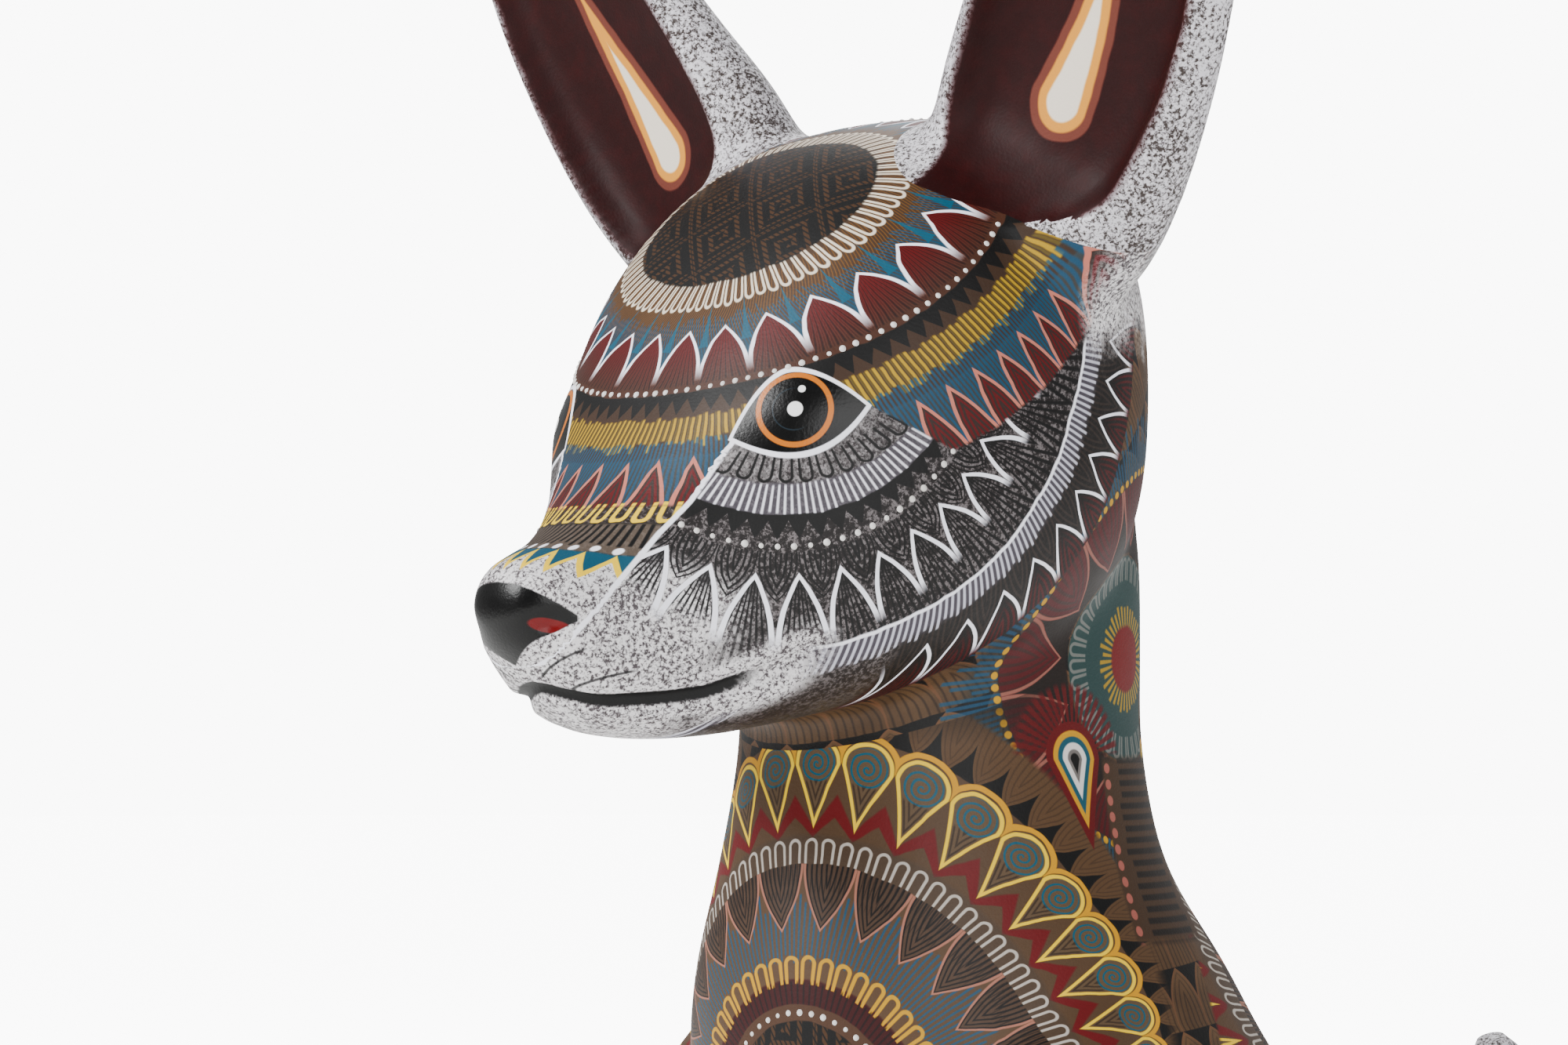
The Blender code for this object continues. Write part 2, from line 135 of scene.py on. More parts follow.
HAUNCH = (  # y, middle x, middle z, half width, half height
    (-0.0010, 0.0375, 0.0320, 0.0050, 0.0080),
    (0.0070, 0.0370, 0.0345, 0.0125, 0.0210),
    (0.0220, 0.0360, 0.0380, 0.0175, 0.0330),
    (0.0420, 0.0350, 0.0420, 0.0195, 0.0400),
    (0.0620, 0.0320, 0.0400, 0.0190, 0.0370),
    (0.0790, 0.0270, 0.0340, 0.0155, 0.0270),
    (0.0890, 0.0220, 0.0280, 0.0080, 0.0130),
)
HIND_FOOT = (  # y, middle x, middle z, half width, half height
    (-0.0085, 0.0410, 0.0045, 0.0060, 0.0045),
    (-0.0040, 0.0410, 0.0050, 0.0110, 0.0085),
    (0.0080, 0.0405, 0.0055, 0.0120, 0.0110),
    (0.0250, 0.0400, 0.0060, 0.0110, 0.0120),
    (0.0430, 0.0390, 0.0060, 0.0090, 0.0120),
)
EAR = (  # middle x, y, z, half width, half thickness
    (0.0240, -0.0090, 0.2180, 0.0120, 0.0100),
    (0.0300, -0.0115, 0.2270, 0.0185, 0.0125),
    (0.0370, -0.0145, 0.2385, 0.0218, 0.0120),
    (0.0450, -0.0180, 0.2500, 0.0222, 0.0108),
    (0.0525, -0.0212, 0.2625, 0.0213, 0.0096),
    (0.0598, -0.0242, 0.2765, 0.0193, 0.0085),
    (0.0665, -0.0268, 0.2910, 0.0155, 0.0070),
    (0.0702, -0.0285, 0.3035, 0.0105, 0.0054),
    (0.0720, -0.0297, 0.3135, 0.0058, 0.0038),
    (0.0727, -0.0304, 0.3195, 0.0022, 0.0022),
)
EAR_BOWL = (  # z on the ear's middle line, half width, depth of the hollow
    (0.2300, 0.0090, 0.0000),
    (0.2345, 0.0115, 0.0040),
    (0.2400, 0.0150, 0.0080),
    (0.2520, 0.0168, 0.0098),
    (0.2650, 0.0162, 0.0090),
    (0.2790, 0.0140, 0.0074),
    (0.2920, 0.0105, 0.0056),
    (0.3030, 0.0056, 0.0030),
    (0.3105, 0.0008, 0.0008),
)
EAR_FOOT = (0.006, 0.226)  # x and z beyond which the skin may belong to an ear
BOWL_SQUARE = 3.2
BOWL_RIM = 1.06  # of the hollow's half width: how far out its paint runs
BOWL_EASE, BOWL_ROUNDS = 0.6, 10
TAIL_ROOT = (0.0, 0.0885, 0.0340)
TAIL = (  # y, z, half width, half thickness
    (0.0885, 0.0340, 0.0090, 0.0090),
    (0.1000, 0.0425, 0.0088, 0.0088),
    (0.1160, 0.0490, 0.0128, 0.0125),
    (0.1330, 0.0590, 0.0148, 0.0140),
    (0.1430, 0.0740, 0.0138, 0.0130),
    (0.1445, 0.0890, 0.0090, 0.0085),
    (0.1410, 0.0990, 0.0025, 0.0025),
)
NECK_SEAM = (Vector((0, 0, 0.1625)), Vector((0, -0.342, 0.940)).normalized())
EAR_SEAT = Vector((0.0331, -0.0130, 0.2323))
EAR_AXIS = Vector((0.650, -0.280, 1.000)).normalized()
EAR_FACING = Vector((math.sin(math.radians(12)), -math.cos(math.radians(12)), 0))
HAUNCH_SEAM = (Vector((0.0265, 0, 0)), Vector((0.977, 0, -0.212)).normalized())
HAUNCH_FRONT = (Vector((0, -0.0120, 0.0300)), Vector((0, 1.3, -1.0)).normalized())
LEG_SEAM_Z = 0.056
LEG_SEAM_Y = -0.0115
TAIL_PULL = Vector((0, math.cos(math.radians(35)), math.sin(math.radians(35))))
X, Y, Z = Vector((1, 0, 0)), Vector((0, 1, 0)), Vector((0, 0, 1))


# ---------------------------------------------------------------------------------------------
# Carving
# ---------------------------------------------------------------------------------------------


def between(rows, steps=4):
    """Rows of numbers with a smooth Catmull-Rom curve run through them."""
    padded = [rows[0], *rows, rows[-1]]
    smooth = []
    for a, b, c, d in zip(padded, padded[1:], padded[2:], padded[3:]):
        for step in range(steps):
            t = step / steps
            smooth.append(
                tuple(
                    0.5 * (2 * q + (r - p) * t + (2 * p - 5 * q + 4 * r - s) * t**2
                           + (3 * q - p - 3 * r + s) * t**3)
                    for p, q, r, s in zip(a, b, c, d)
                )
            )
    smooth.append(tuple(rows[-1]))
    return smooth


def ring(centre, across, along, half_across, half_along, points=48, square=2.0):
    """Points round a centre, from two directions and half sizes. Over 2, square is boxier."""
    made = []
    for k in range(points):
        turn = 2 * math.pi * k / points
        c, s = math.cos(turn), math.sin(turn)
        reach = (abs(c) ** square + abs(s) ** square) ** (-1 / square)
        made.append(centre + across * (half_across * c * reach) + along * (half_along * s * reach))
    return made


def add_loft(shell, rings):
    """Adds a closed skin through these rings of points to a bmesh."""
    loops, made = [], []
    for points in rings:
        corners = [shell.verts.new(point) for point in points]
        loops.append([shell.edges.new((corners[k - 1], corners[k])) for k in range(len(corners))])
    for first, second in zip(loops, loops[1:]):
        made += bmesh.ops.bridge_loops(shell, edges=first + second)["faces"]
    made += bmesh.ops.holes_fill(shell, edges=loops[0] + loops[-1], sides=0)["faces"]
    bmesh.ops.recalc_face_normals(shell, faces=made)


def add_object(name, mesh):
    thing = bpy.data.objects.new(name, mesh)
    bpy.context.scene.collection.objects.link(thing)
    return thing


def settled(thing):
    """The mesh that an object's modifiers make, with the object itself removed."""
    graph = bpy.context.evaluated_depsgraph_get()
    mesh = bpy.data.meshes.new_from_object(thing.evaluated_get(graph))
    bpy.data.objects.remove(thing)
    return mesh


def ear_sections(side, steps=4):
    """Sections along an ear's curved middle line: centre, across, facing, axis, half sizes."""
    smooth = between(EAR, steps)
    middles = [Vector((side * x, y, z)) for x, y, z, _, _ in smooth]
    sections = []
    for k, (_, _, _, wide, thick) in enumerate(smooth):
        axis = (middles[min(k + 1, len(middles) - 1)] - middles[max(k - 1, 0)]).normalized()
        facing = Vector((side * EAR_FACING.x, EAR_FACING.y, 0))
        facing = (facing - axis * facing.dot(axis)).normalized()
        sections.append((middles[k], axis.cross(facing), facing, axis, wide, thick))
    return sections


def carved_figure(voxel, sanding):
    """The whole fox but its tail, blended into one skin of small even facets."""
    shell = bmesh.new()
    add_loft(shell, [
        ring(Vector((0, y, (low + high) / 2)), X, Z, half, (high - low) / 2, square=HEAD_SQUARE)
        for y, low, high, half in between(HEAD)
    ])
    add_loft(shell, [ring(Vector((0, y, z)), X, Y, w, d) for z, y, w, d in between(TORSO)])
    for side in (1, -1):
        add_loft(shell, [
            ring(Vector((side * x, y, z)), X, Y, w, d) for z, x, y, w, d in between(FRONT_LEG)
        ])
        for stations in (HAUNCH, HIND_FOOT):
            add_loft(shell, [
                ring(Vector((side * x, y, z)), X, Z, w, h) for y, x, z, w, h in between(stations)
            ])
        add_loft(shell, [
            ring(centre, across, facing, wide, thick)
            for centre, across, facing, _, wide, thick in ear_sections(side)
        ])
    mesh = bpy.data.meshes.new("carved_figure")
    shell.to_mesh(mesh)
    shell.free()
    figure = add_object("carved_figure", mesh)
    blend = figure.modifiers.new("blend", "REMESH")
    blend.mode = "VOXEL"
    blend.voxel_size = voxel
    sand = figure.modifiers.new("sand", "SMOOTH")
    sand.factor = 0.5
    sand.iterations = sanding
    finer = figure.modifiers.new("finer", "SUBSURF")
    finer.levels = finer.render_levels = 1
    return settled(figure)


def points_of(mesh, what="co"):
    flat = np.empty(len(mesh.vertices) * 3, np.float32)
    mesh.vertices.foreach_get(what, flat)
    return flat.reshape(-1, 3).astype(float)


def put_points(mesh, points):
    mesh.vertices.foreach_set("co", points.astype(np.float32).ravel())
    mesh.update()


def edge_ends(mesh):
    edges = np.empty(len(mesh.edges) * 2, np.int32)
    mesh.edges.foreach_get("vertices", edges)
    return edges.reshape(-1, 2).T


def eased(mesh, points, weight, rounds):
    """Points drawn towards the middle of their neighbours, each by its own weight."""
    a, b = edge_ends(mesh)
    near, far = np.concatenate([a, b]), np.concatenate([b, a])
    count = np.bincount(near, minlength=len(points))[:, None]
    for _ in range(rounds):
        middle = np.stack(
            [np.bincount(near, points[far, k], len(points)) for k in range(3)], axis=1)
        points = points + (middle / count - points) * weight[:, None]
    return points


def rounded(distance, reach):
    """1 at no distance, falling smoothly to 0 at the reach."""
    share = np.clip(1 - distance / reach, 0, 1)
    return share * share * (3 - 2 * share)


def path_distance(points, path):
    """How far each point is from a line of points, and how far along the line that is."""
    best = np.full(len(points), 1e9)
    along = np.zeros(len(points))
    run = 0.0
    for a, b in zip(path, path[1:]):
        a, b = np.array(a), np.array(b)
        step = b - a
        length = np.linalg.norm(step)
        t = np.clip(((points - a) @ step) / (length * length), 0, 1)
        gap = np.linalg.norm(points - a - t[:, None] * step, axis=1)
        nearer = gap < best
        best[nearer] = gap[nearer]
        along[nearer] = (run + t * length)[nearer]
        run += length
    return best, along / run


MOUTH = [  # from the middle of the lip to the corner of the mouth, on the left
    (0.0000, -0.0840, 0.1582), (0.0025, -0.0832, 0.1580), (0.0055, -0.0812, 0.1574),
    (0.0080, -0.0785, 0.1570), (0.0110, -0.0750, 0.1570), (0.0135, -0.0700, 0.1575),
    (0.0157, -0.0652, 0.1585), (0.0198, -0.0600, 0.1607), (0.0225, -0.0565, 0.1627),
    (0.0252, -0.0537, 0.1646),
]


def sculpted_face(mesh):
    """Presses in the mouth and the nostrils, and swells the nose and the eyes."""
    points, normals = points_of(mesh), points_of(mesh, "normal")
    skin = BVHTree.FromPolygons(
        [tuple(p) for p in points], [tuple(f.vertices) for f in mesh.polygons])
    MOUTH[:] = [tuple(skin.find_nearest(Vector(spot))[0]) for spot in MOUTH]
    near = np.abs(points) * [1, 0, 0] + points * [0, 1, 1]  # both sides folded on the left
    points = points - normals * (0.0012 * rounded(path_distance(near, MOUTH)[0], 0.0024))[:, None]
    for middle, squash, reach, swell in (  # an eye, then a nostril
        ((0.0246, -0.0558, 0.1981), (1, 1, 1.25), 0.0080, 0.0009),
        ((0.0070, -0.0868, 0.1680), (1, 1, 1.3), 0.0022, -0.0013),
    ):
        gap = np.linalg.norm((near - middle) * squash, axis=1)
        points = points + normals * (swell * np.exp(-((gap / reach) ** 2)))[:, None]
    nose = np.linalg.norm((near - (0.0, -0.0885, 0.1690)) * (0.75, 1, 1.1), axis=1)
    put_points(mesh, points + normals * (0.0009 * rounded(nose, 0.0090))[:, None])


def hollowed_ears(mesh):
    """Hollows both ears in front, leaving a round rim, and keeps where the hollow is painted."""
    points = points_of(mesh)
    painted, ease = np.zeros(len(points)), np.zeros(len(points))
    for side in (1, -1):
        sections = ear_sections(side, 40)
        middles = np.array([list(one[0]) for one in sections])
        bowls = between(EAR_BOWL, 12)
        heights = np.array([row[0] for row in bowls])
        picked = np.where(
            (points[:, 0] * side > EAR_FOOT[0]) & (points[:, 2] > EAR_FOOT[1]))[0]
        here = points[picked]
        nearest = np.argmin(((here[:, None, :] - middles[None, :, :]) ** 2).sum(2), axis=1)
        across, facing = (np.array([list(one[k]) for one in sections])[nearest] for k in (1, 2))
        thick = np.array([one[5] for one in sections])[nearest]
        off = here - middles[nearest]
        level = middles[nearest][:, 2]
        wide = np.interp(level, heights, [row[1] for row in bowls])
        deep = np.interp(level, heights, [row[2] for row in bowls], left=0, right=0)
        beside, front = (off * across).sum(1), (off * facing).sum(1)
        share = np.clip(1 - (np.abs(beside) / np.maximum(wide, 1e-6)) ** BOWL_SQUARE, 0, 1)
        share = np.sqrt(share) * (deep > 0)
        is_front = np.clip(front / (0.35 * thick), 0, 1)
        points[picked] = here - facing * (deep * share * is_front)[:, None]
        edge = 1.5 - np.abs(beside) / np.maximum(wide * BOWL_RIM, 1e-6)
        whole = np.clip(front / 0.003 + 0.5, 0, 1) * np.clip(deep / 0.0012, 0, 1)
        painted[picked] = np.clip(edge, 0, 1) * whole
        ease[picked] = BOWL_EASE * np.clip((edge + 0.3) / 0.3, 0, 1) * (deep > 0)
    put_points(mesh, eased(mesh, points, ease, BOWL_ROUNDS))
    put_guide(mesh, "bowl", (painted, 0.0, 0.0))


def sliced(shell, point, normal):
    """Cuts every face of a bmesh along a plane, leaving it in one piece."""
    bmesh.ops.bisect_plane(
        shell, geom=shell.verts[:] + shell.edges[:] + shell.faces[:],
        plane_co=point, plane_no=normal, dist=1e-7,
    )


def mirrored(plane, side):
    return (Vector((plane[0].x * side, plane[0].y, plane[0].z)),
            Vector((plane[1].x * side, plane[1].y, plane[1].z)))


def block_of(point, cuts):
    """The name of the block that a point of the skin belongs to."""
    for name, planes in cuts:
        if all((point - spot).dot(way) > 0 for spot, way in planes):
            return name
    return "torso"


def sawn_blocks(mesh):
    """The carved skin sawn along its seams, each block closed: {name: mesh}."""
    up, down, front = Vector((0, 0, 1)), Vector((0, 0, -1)), Vector((0, -1, 0))
    cuts = []
    for name, side in (("left", 1), ("right", -1)):
        seat, axis = mirrored((EAR_SEAT, EAR_AXIS), side)
        cuts.append((f"ear_{name}", ((seat, axis), (Vector((side * 0.004, 0, 0)), X * side))))
        cuts.append((f"front_leg_{name}", (
            (Vector((0, 0, LEG_SEAM_Z)), down), (Vector((0, LEG_SEAM_Y, 0)), front),
            (Vector(), X * side))))
        cuts.append((f"hind_leg_{name}", (
            mirrored(HAUNCH_SEAM, side), HAUNCH_FRONT,
            (Vector((0, LEG_SEAM_Y, 0)), -front), (Vector((0, 0, 0.13)), down))))
    cuts.append(("head", (NECK_SEAM, (Vector((0, 0, 0.12)), up))))
    shell = bmesh.new()
    shell.from_mesh(mesh)
    ground = bmesh.ops.bisect_plane(
        shell, geom=shell.verts[:] + shell.edges[:] + shell.faces[:],
        plane_co=(0, 0, 0), plane_no=(0, 0, -1), clear_outer=True, dist=1e-7,
    )
    bmesh.ops.holes_fill(
        shell, edges=[e for e in ground["geom_cut"] if isinstance(e, bmesh.types.BMEdge)], sides=0)
    for side in (1, -1):
        sliced(shell, *mirrored((EAR_SEAT, EAR_AXIS), side))
        sliced(shell, *mirrored(HAUNCH_SEAM, side))
    sliced(shell, *HAUNCH_FRONT)
    sliced(shell, Vector((0, 0, LEG_SEAM_Z)), Z)
    sliced(shell, *NECK_SEAM)
    names = [name for name, _ in cuts] + ["torso"]
    sorted_faces = {name: [] for name in names}
    for face in shell.faces:
        sorted_faces[block_of(face.calc_center_median(), cuts)].append(face.index)
    made = {}
    for name in names:
        block = shell.copy()
        block.faces.ensure_lookup_table()
        keep = set(sorted_faces[name])
        bmesh.ops.delete(block, geom=[f for f in block.faces if f.index not in keep],
                         context="FACES")
        rims = [e for e in block.edges if e.is_boundary]
        for rim in rims:
            rim.smooth = False
        for face in bmesh.ops.holes_fill(block, edges=rims, sides=0)["faces"]:
            face.material_index = 1
        bmesh.ops.recalc_face_normals(block, faces=block.faces[:])
        made[name] = bpy.data.meshes.new(name)
        block.to_mesh(made[name])
        block.free()
    shell.free()
    return made


def tail_mesh():
    """The tail from its root in the rump's seat up to its tip."""
    smooth = between(TAIL, 10)
    middles = [Vector((0, y, z)) for y, z, _, _ in smooth]
    rings = []
    for k, (_, _, wide, thick) in enumerate(smooth):
        heading = TAIL_PULL if k == 0 else (
            middles[min(k + 1, len(middles) - 1)] - middles[k - 1]).normalized()
        rings.append(ring(middles[k], X, heading.cross(X), wide, thick, 64))
    shell = bmesh.new()
    add_loft(shell, rings)
    root = min(shell.faces, key=lambda f: (f.calc_center_median() - Vector(TAIL_ROOT)).length)
    root.material_index = 1
    for rim in root.edges:
        rim.smooth = False
    mesh = bpy.data.meshes.new("tail")
    shell.to_mesh(mesh)
    shell.free()
    return mesh


# ---------------------------------------------------------------------------------------------
# Guides for the brush: how far and how far round each pattern's ring a point of the skin lies,
# in millimetres about the neck's axis. They are kept on each mesh as named attributes.
# ---------------------------------------------------------------------------------------------

CROWN_CENTRE, CROWN_SCALE = (0.0, -62.99, 251.4), (0.70, 0.95, 1.0)
CROWN_TOP, CROWN_BACK = (0.0, -40.0, 230.0), (0.0, 0.68, 0.73)
CROWN_PETALS = 25
EYE = np.array((24.65, -55.85, 198.08))
EYE_OUT = np.array((0.573, -0.780, 0.253))
EYE_ALONG = np.array((0.713, 0.656, 0.247))
BROW_CENTRE, BROW_SCALE = (43.26, -61.19, 231.12), (0.6, 1.6, 1.0)
BREAST_CENTRE, BREAST_SCALE = (22.2, -93.4, 96.65), (0.701, 0.704, 1.0)
BREAST_AXIS, BREAST_SIDE = (9.0, -38.7, 96.65), (0.972, 0.234, 0.0)
CHEST_SHARE = 0.8  # of the body's half width: the shoulders beyond it are as they stand
FACE_LINE = (  # from the inner corner of the eye to the lip
    (18.0, -61.6, 194.6), (14.9, -67.5, 185.4), (13.0, -71.7, 180.9), (11.7, -78.0, 174.2),
    (9.9, -83.6, 167.7), (4.1, -86.5, 162.1),
)
CHEEK_CENTRE = (-52.0, 210.0)
CHEEK_CURVE = (  # degrees round the cheek, radius of the strip there
    (-170.0, 90.0), (-110.0, 75.0), (-97.0, 50.0), (-91.8, 44.9), (-76.4, 42.0),
    (-58.8, 39.7), (-39.3, 37.2), (-18.2, 36.6), (-1.1, 38.3), (10.3, 41.3), (40.0, 49.0),
)
NAPE_MIDDLE = (12.8, 164.0)
HAUNCH_MIDDLE = (47.0, 48.0)
BACK_MIDDLE = 104.0
SHIN_MIDDLE = (22.5, -28.0)
FULL_TURN = 360.0


def scaled_distance(points, centre, scale):
    return np.linalg.norm((points - np.array(centre)) * np.array(scale), axis=1)


def breast_reach(points):
    """How far round the breast's rings a point is, as if the legs didn't stand proud of it."""
    levels, middle, wide, deep = np.array(TORSO[::-1]).T * MM
    height = points[:, 2]
    share = np.minimum(np.abs(points[:, 0]) / np.interp(height, levels, wide), CHEST_SHARE)
    chest = np.interp(height, levels, middle) - np.interp(height, levels, deep) * np.sqrt(
        1 - share**2)
    pressed = np.stack([points[:, 0], np.maximum(points[:, 1], chest), height], axis=1)
    far = scaled_distance(pressed, BREAST_CENTRE, BREAST_SCALE)
    return np.sqrt(np.maximum(far**2 - 39.6**2, 0))


def signed_line(points, line):
    """Distance from a line across the face, below it counted up and above it down."""
    gap, _ = path_distance(points, line)
    flat = np.array(line)[:, 1:]
    levels = np.interp(-points[:, 1], -flat[:, 0], flat[:, 1])
    return np.where(points[:, 2] > levels, -gap, gap)


def put_guide(mesh, name, values, period=0.0):
    """Keeps three numbers a point on the mesh. A period joins the middle one up round a ring."""
    values = np.stack([np.broadcast_to(v, len(mesh.vertices)) for v in values], axis=1)
    if not period:
        mesh.attributes.new(name, "FLOAT_VECTOR", "POINT").data.foreach_set(
            "vector", values.astype(np.float32).ravel())
        return
    corners = np.empty(len(mesh.loops), np.int32)
    mesh.loops.foreach_get("vertex_index", corners)
    first = np.empty(len(mesh.polygons), np.int32)
    count = np.empty(len(mesh.polygons), np.int32)
    mesh.polygons.foreach_get("loop_start", first)
    mesh.polygons.foreach_get("loop_total", count)
    values = values[corners]
    lead = np.repeat(values[first, 1], count)
    values[:, 1] -= period * np.round((values[:, 1] - lead) / period)
    mesh.attributes.new(name, "FLOAT_VECTOR", "CORNER").data.foreach_set(
        "vector", values.astype(np.float32).ravel())


def degrees(up, along):
    return np.degrees(np.arctan2(up, along))


def brow_turn(off):
    """Degrees round the eye's rows, from places off the eye's middle."""
    return degrees(off @ EYE_ALONG - 0.4, 5.7 - off @ np.cross(EYE_OUT, EYE_ALONG))


def crown_turn(points):
    return degrees((points - np.array(CROWN_TOP)) @ np.array(CROWN_BACK), points[:, 0])


def breast_turn(points):
    off = points - np.array(BREAST_AXIS)
    return degrees(off[:, 2], off @ np.array(BREAST_SIDE))


def ear_guide(folded):
    """Across, in front of and along an ear, from its seat."""
    sections = ear_sections(1, 30)
    middles = np.array([list(one[0]) for one in sections]) * MM
    nearest = np.argmin(((folded[:, None, :] - middles[None, :, :]) ** 2).sum(2), axis=1)
    reach = np.concatenate([[0], np.cumsum(np.linalg.norm(np.diff(middles, axis=0), axis=1))])
    seat = np.argmin(np.linalg.norm(middles - np.array(EAR_SEAT) * MM, axis=1))
    across, facing, axis = (
        ((folded - middles[nearest]) * np.array([list(one[k]) for one in sections])[nearest]
         ).sum(1) for k in (1, 2, 3))
    return across, facing, axis + reach[nearest] - reach[seat]


def put_guides(mesh, names):
    """Works out the named guides for a mesh that stands about the neck's axis."""
    points = points_of(mesh) * MM
    x, y, z = points.T
    side = np.abs(x)
    folded = np.stack([side, y, z], axis=1)
    if "crown" in names:
        back = (points - np.array(CROWN_TOP)) @ np.array(CROWN_BACK)
        put_guide(mesh, "crown", (
            scaled_distance(folded, CROWN_CENTRE, CROWN_SCALE),
            (crown_turn(points) + 90) * CROWN_PETALS / FULL_TURN, back), CROWN_PETALS)
    if "eye" in names:
        off = folded - EYE
        put_guide(mesh, "eye", (off @ EYE_ALONG, off @ np.cross(EYE_OUT, EYE_ALONG), y))
    if "brow" in names:
        put_guide(mesh, "brow", (
            scaled_distance(folded, BROW_CENTRE, BROW_SCALE), brow_turn(folded - EYE),
            signed_line(folded, FACE_LINE)), FULL_TURN)
    if "cheek" in names:
        off = folded[:, 1:] - np.array(CHEEK_CENTRE)
        turn = degrees(off[:, 1], off[:, 0])
        turn = np.where(turn > 100, turn - FULL_TURN, turn)
        strip = np.interp(turn, *np.array(CHEEK_CURVE).T)
        gap, _ = path_distance(folded, np.array(MOUTH) * MM)
        put_guide(mesh, "cheek", (np.linalg.norm(off, axis=1) - strip, turn, gap))
    if "ear" in names:
        put_guide(mesh, "ear", ear_guide(folded))
    for name, middle in (("nape", NAPE_MIDDLE), ("haunch", HAUNCH_MIDDLE)):
        if name in names:
            off_y, off_z = y - middle[0], z - middle[1]
            put_guide(mesh, name, (np.hypot(off_y, off_z), degrees(off_z, off_y), side), FULL_TURN)
    if "breast" in names:
        put_guide(mesh, "breast", (breast_reach(points), breast_turn(points), y), FULL_TURN)
    if "lap" in names:
        turn = degrees(x, y - np.interp(z, (0, 60, 110, 150), (50, 36, 6, 0)))
        put_guide(mesh, "lap", (z + np.abs(turn) * 0.05, turn, 0.0), FULL_TURN)
    if "shin" in names:
        put_guide(mesh, "shin", (z, degrees(side - SHIN_MIDDLE[0], y - SHIN_MIDDLE[1]), 0.0),
                  FULL_TURN)
    if "back" in names:
        off_z = z - BACK_MIDDLE
        put_guide(mesh, "back", (np.hypot(x, off_z * 0.9), degrees(off_z, x), y), FULL_TURN)


# ---------------------------------------------------------------------------------------------
# Brushwork: sums of sockets, and strokes that turn a place on the skin into masks
# ---------------------------------------------------------------------------------------------

BROWN, BLACK, MAROON, TEAL, SEA = "brown", "black", "maroon", "teal", "sea"
YELLOW, OCHRE, WHITE, CREAM, PINK = "yellow", "ochre", "white", "cream", "pink"
MASK, SHADE = "NodeSocketFloat", "NodeSocketColor"


def of_eye(code):
    """The linear parts of a colour, from a hex code of what the eye sees."""
    parts = [int(code[k:k + 2], 16) / 255 for k in (0, 2, 4)]
    return tuple(c / 12.92 if c <= 0.04045 else ((c + 0.055) / 1.055) ** 2.4 for c in parts)


def linear(colour):
    """A colour for the nodes, from the name of a paint or from a hex code."""
    if colour in FoxPaints.__annotations__:
        return (*getattr(bpy.context.scene.fox_paints, colour), 1.0)
    return (*of_eye(colour), 1.0)


class Field:
    """A number or a colour that changes over the skin: one output socket of a tree of nodes."""

    def __init__(self, tree, socket):
        self.tree, self.socket = tree, socket

    def sum(self, operation, *others, clamp=False):
        return add_node(self.tree, "Math", dict(enumerate((self, *others))),
                        operation=operation, use_clamp=clamp)

    def __add__(self, other):
        return self.sum("ADD", other)

    __radd__ = __add__

    def __sub__(self, other):
        return self.sum("SUBTRACT", other)

    def __rsub__(self, other):
        return self.sum("MULTIPLY_ADD", -1.0, other)

    def __mul__(self, other):
        return self.sum("MULTIPLY", other)

    __rmul__ = __mul__

    def __truediv__(self, other):
        return self.sum("DIVIDE", other)

    def __abs__(self):
        return self.sum("ABSOLUTE")

    def __pow__(self, other):
        return self.sum("POWER", other)

    def most(self, other):
        return self.sum("MAXIMUM", other)

    def least(self, other):
        return self.sum("MINIMUM", other)

    def cell(self):
        """Where a point is in its own cell, from -0.5 to 0.5."""
        return self.sum("FRACT") - 0.5

    def lines(self, half, soft):
        """1 within half of the middle of each cell."""
        return abs(self.cell()).under(half, soft)

    def under(self, edge, soft=0.12):
        """1 where the value is below the edge, fading to 0 across it."""
        if isinstance(edge, Field):
            return (edge - self).sum("MULTIPLY_ADD", 1 / soft, 0.5, clamp=True)
        return self.sum("MULTIPLY_ADD", -1 / soft, edge / soft + 0.5, clamp=True)

    def over(self, edge, soft=0.12):
        if isinstance(edge, Field):
            return (self - edge).sum("MULTIPLY_ADD", 1 / soft, 0.5, clamp=True)
        return self.sum("MULTIPLY_ADD", 1 / soft, 0.5 - edge / soft, clamp=True)

    def within(self, low, high, soft=0.12):
        return self.over(low, soft) * self.under(high, soft)

    def hypot(self, other):
        return (self * self + other * other).sum("SQRT")

    def ramp(self, low, high):
        """0 at low, 1 at high, straight between."""
        return self.sum("MULTIPLY_ADD", 1 / (high - low), -low / (high - low), clamp=True)


def plug(tree, value, spot):
    """Links a field into a socket, or sets the socket to a number or to a paint."""
    if isinstance(value, Field):
        tree.links.new(value.socket, spot)
    else:
        spot.default_value = linear(value) if isinstance(value, str) else value


def add_node(tree, kind, inputs=(), output=0, **settings):
    """Adds a shader node, its inputs given by name or number; returns one of its outputs."""
    node = tree.nodes.new("ShaderNode" + kind)
    for name, value in settings.items():
        setattr(node, name, value)
    for spot, value in dict(inputs).items():
        plug(tree, value, node.inputs[spot])
    return Field(tree, node.outputs[output])


def parts(vector):
    """The three numbers of a vector."""
    split = vector.tree.nodes.new("ShaderNodeSeparateXYZ")
    plug(vector.tree, vector, split.inputs[0])
    return [Field(vector.tree, one) for one in split.outputs]


def place(tree):
    return add_node(tree, "TexCoord", output="Object")


def guide(tree, name):
    """The three numbers of a named guide."""
    return parts(add_node(tree, "Attribute", output="Vector", attribute_name=name))


def noise(tree, size, detail=2.0, where=None):
    """Smooth noise about this many millimetres across, from the skin's own place."""
    return add_node(tree, "TexNoise", {
        "Scale": MM / size, "Detail": detail, "Vector": where or place(tree)}, "Fac")


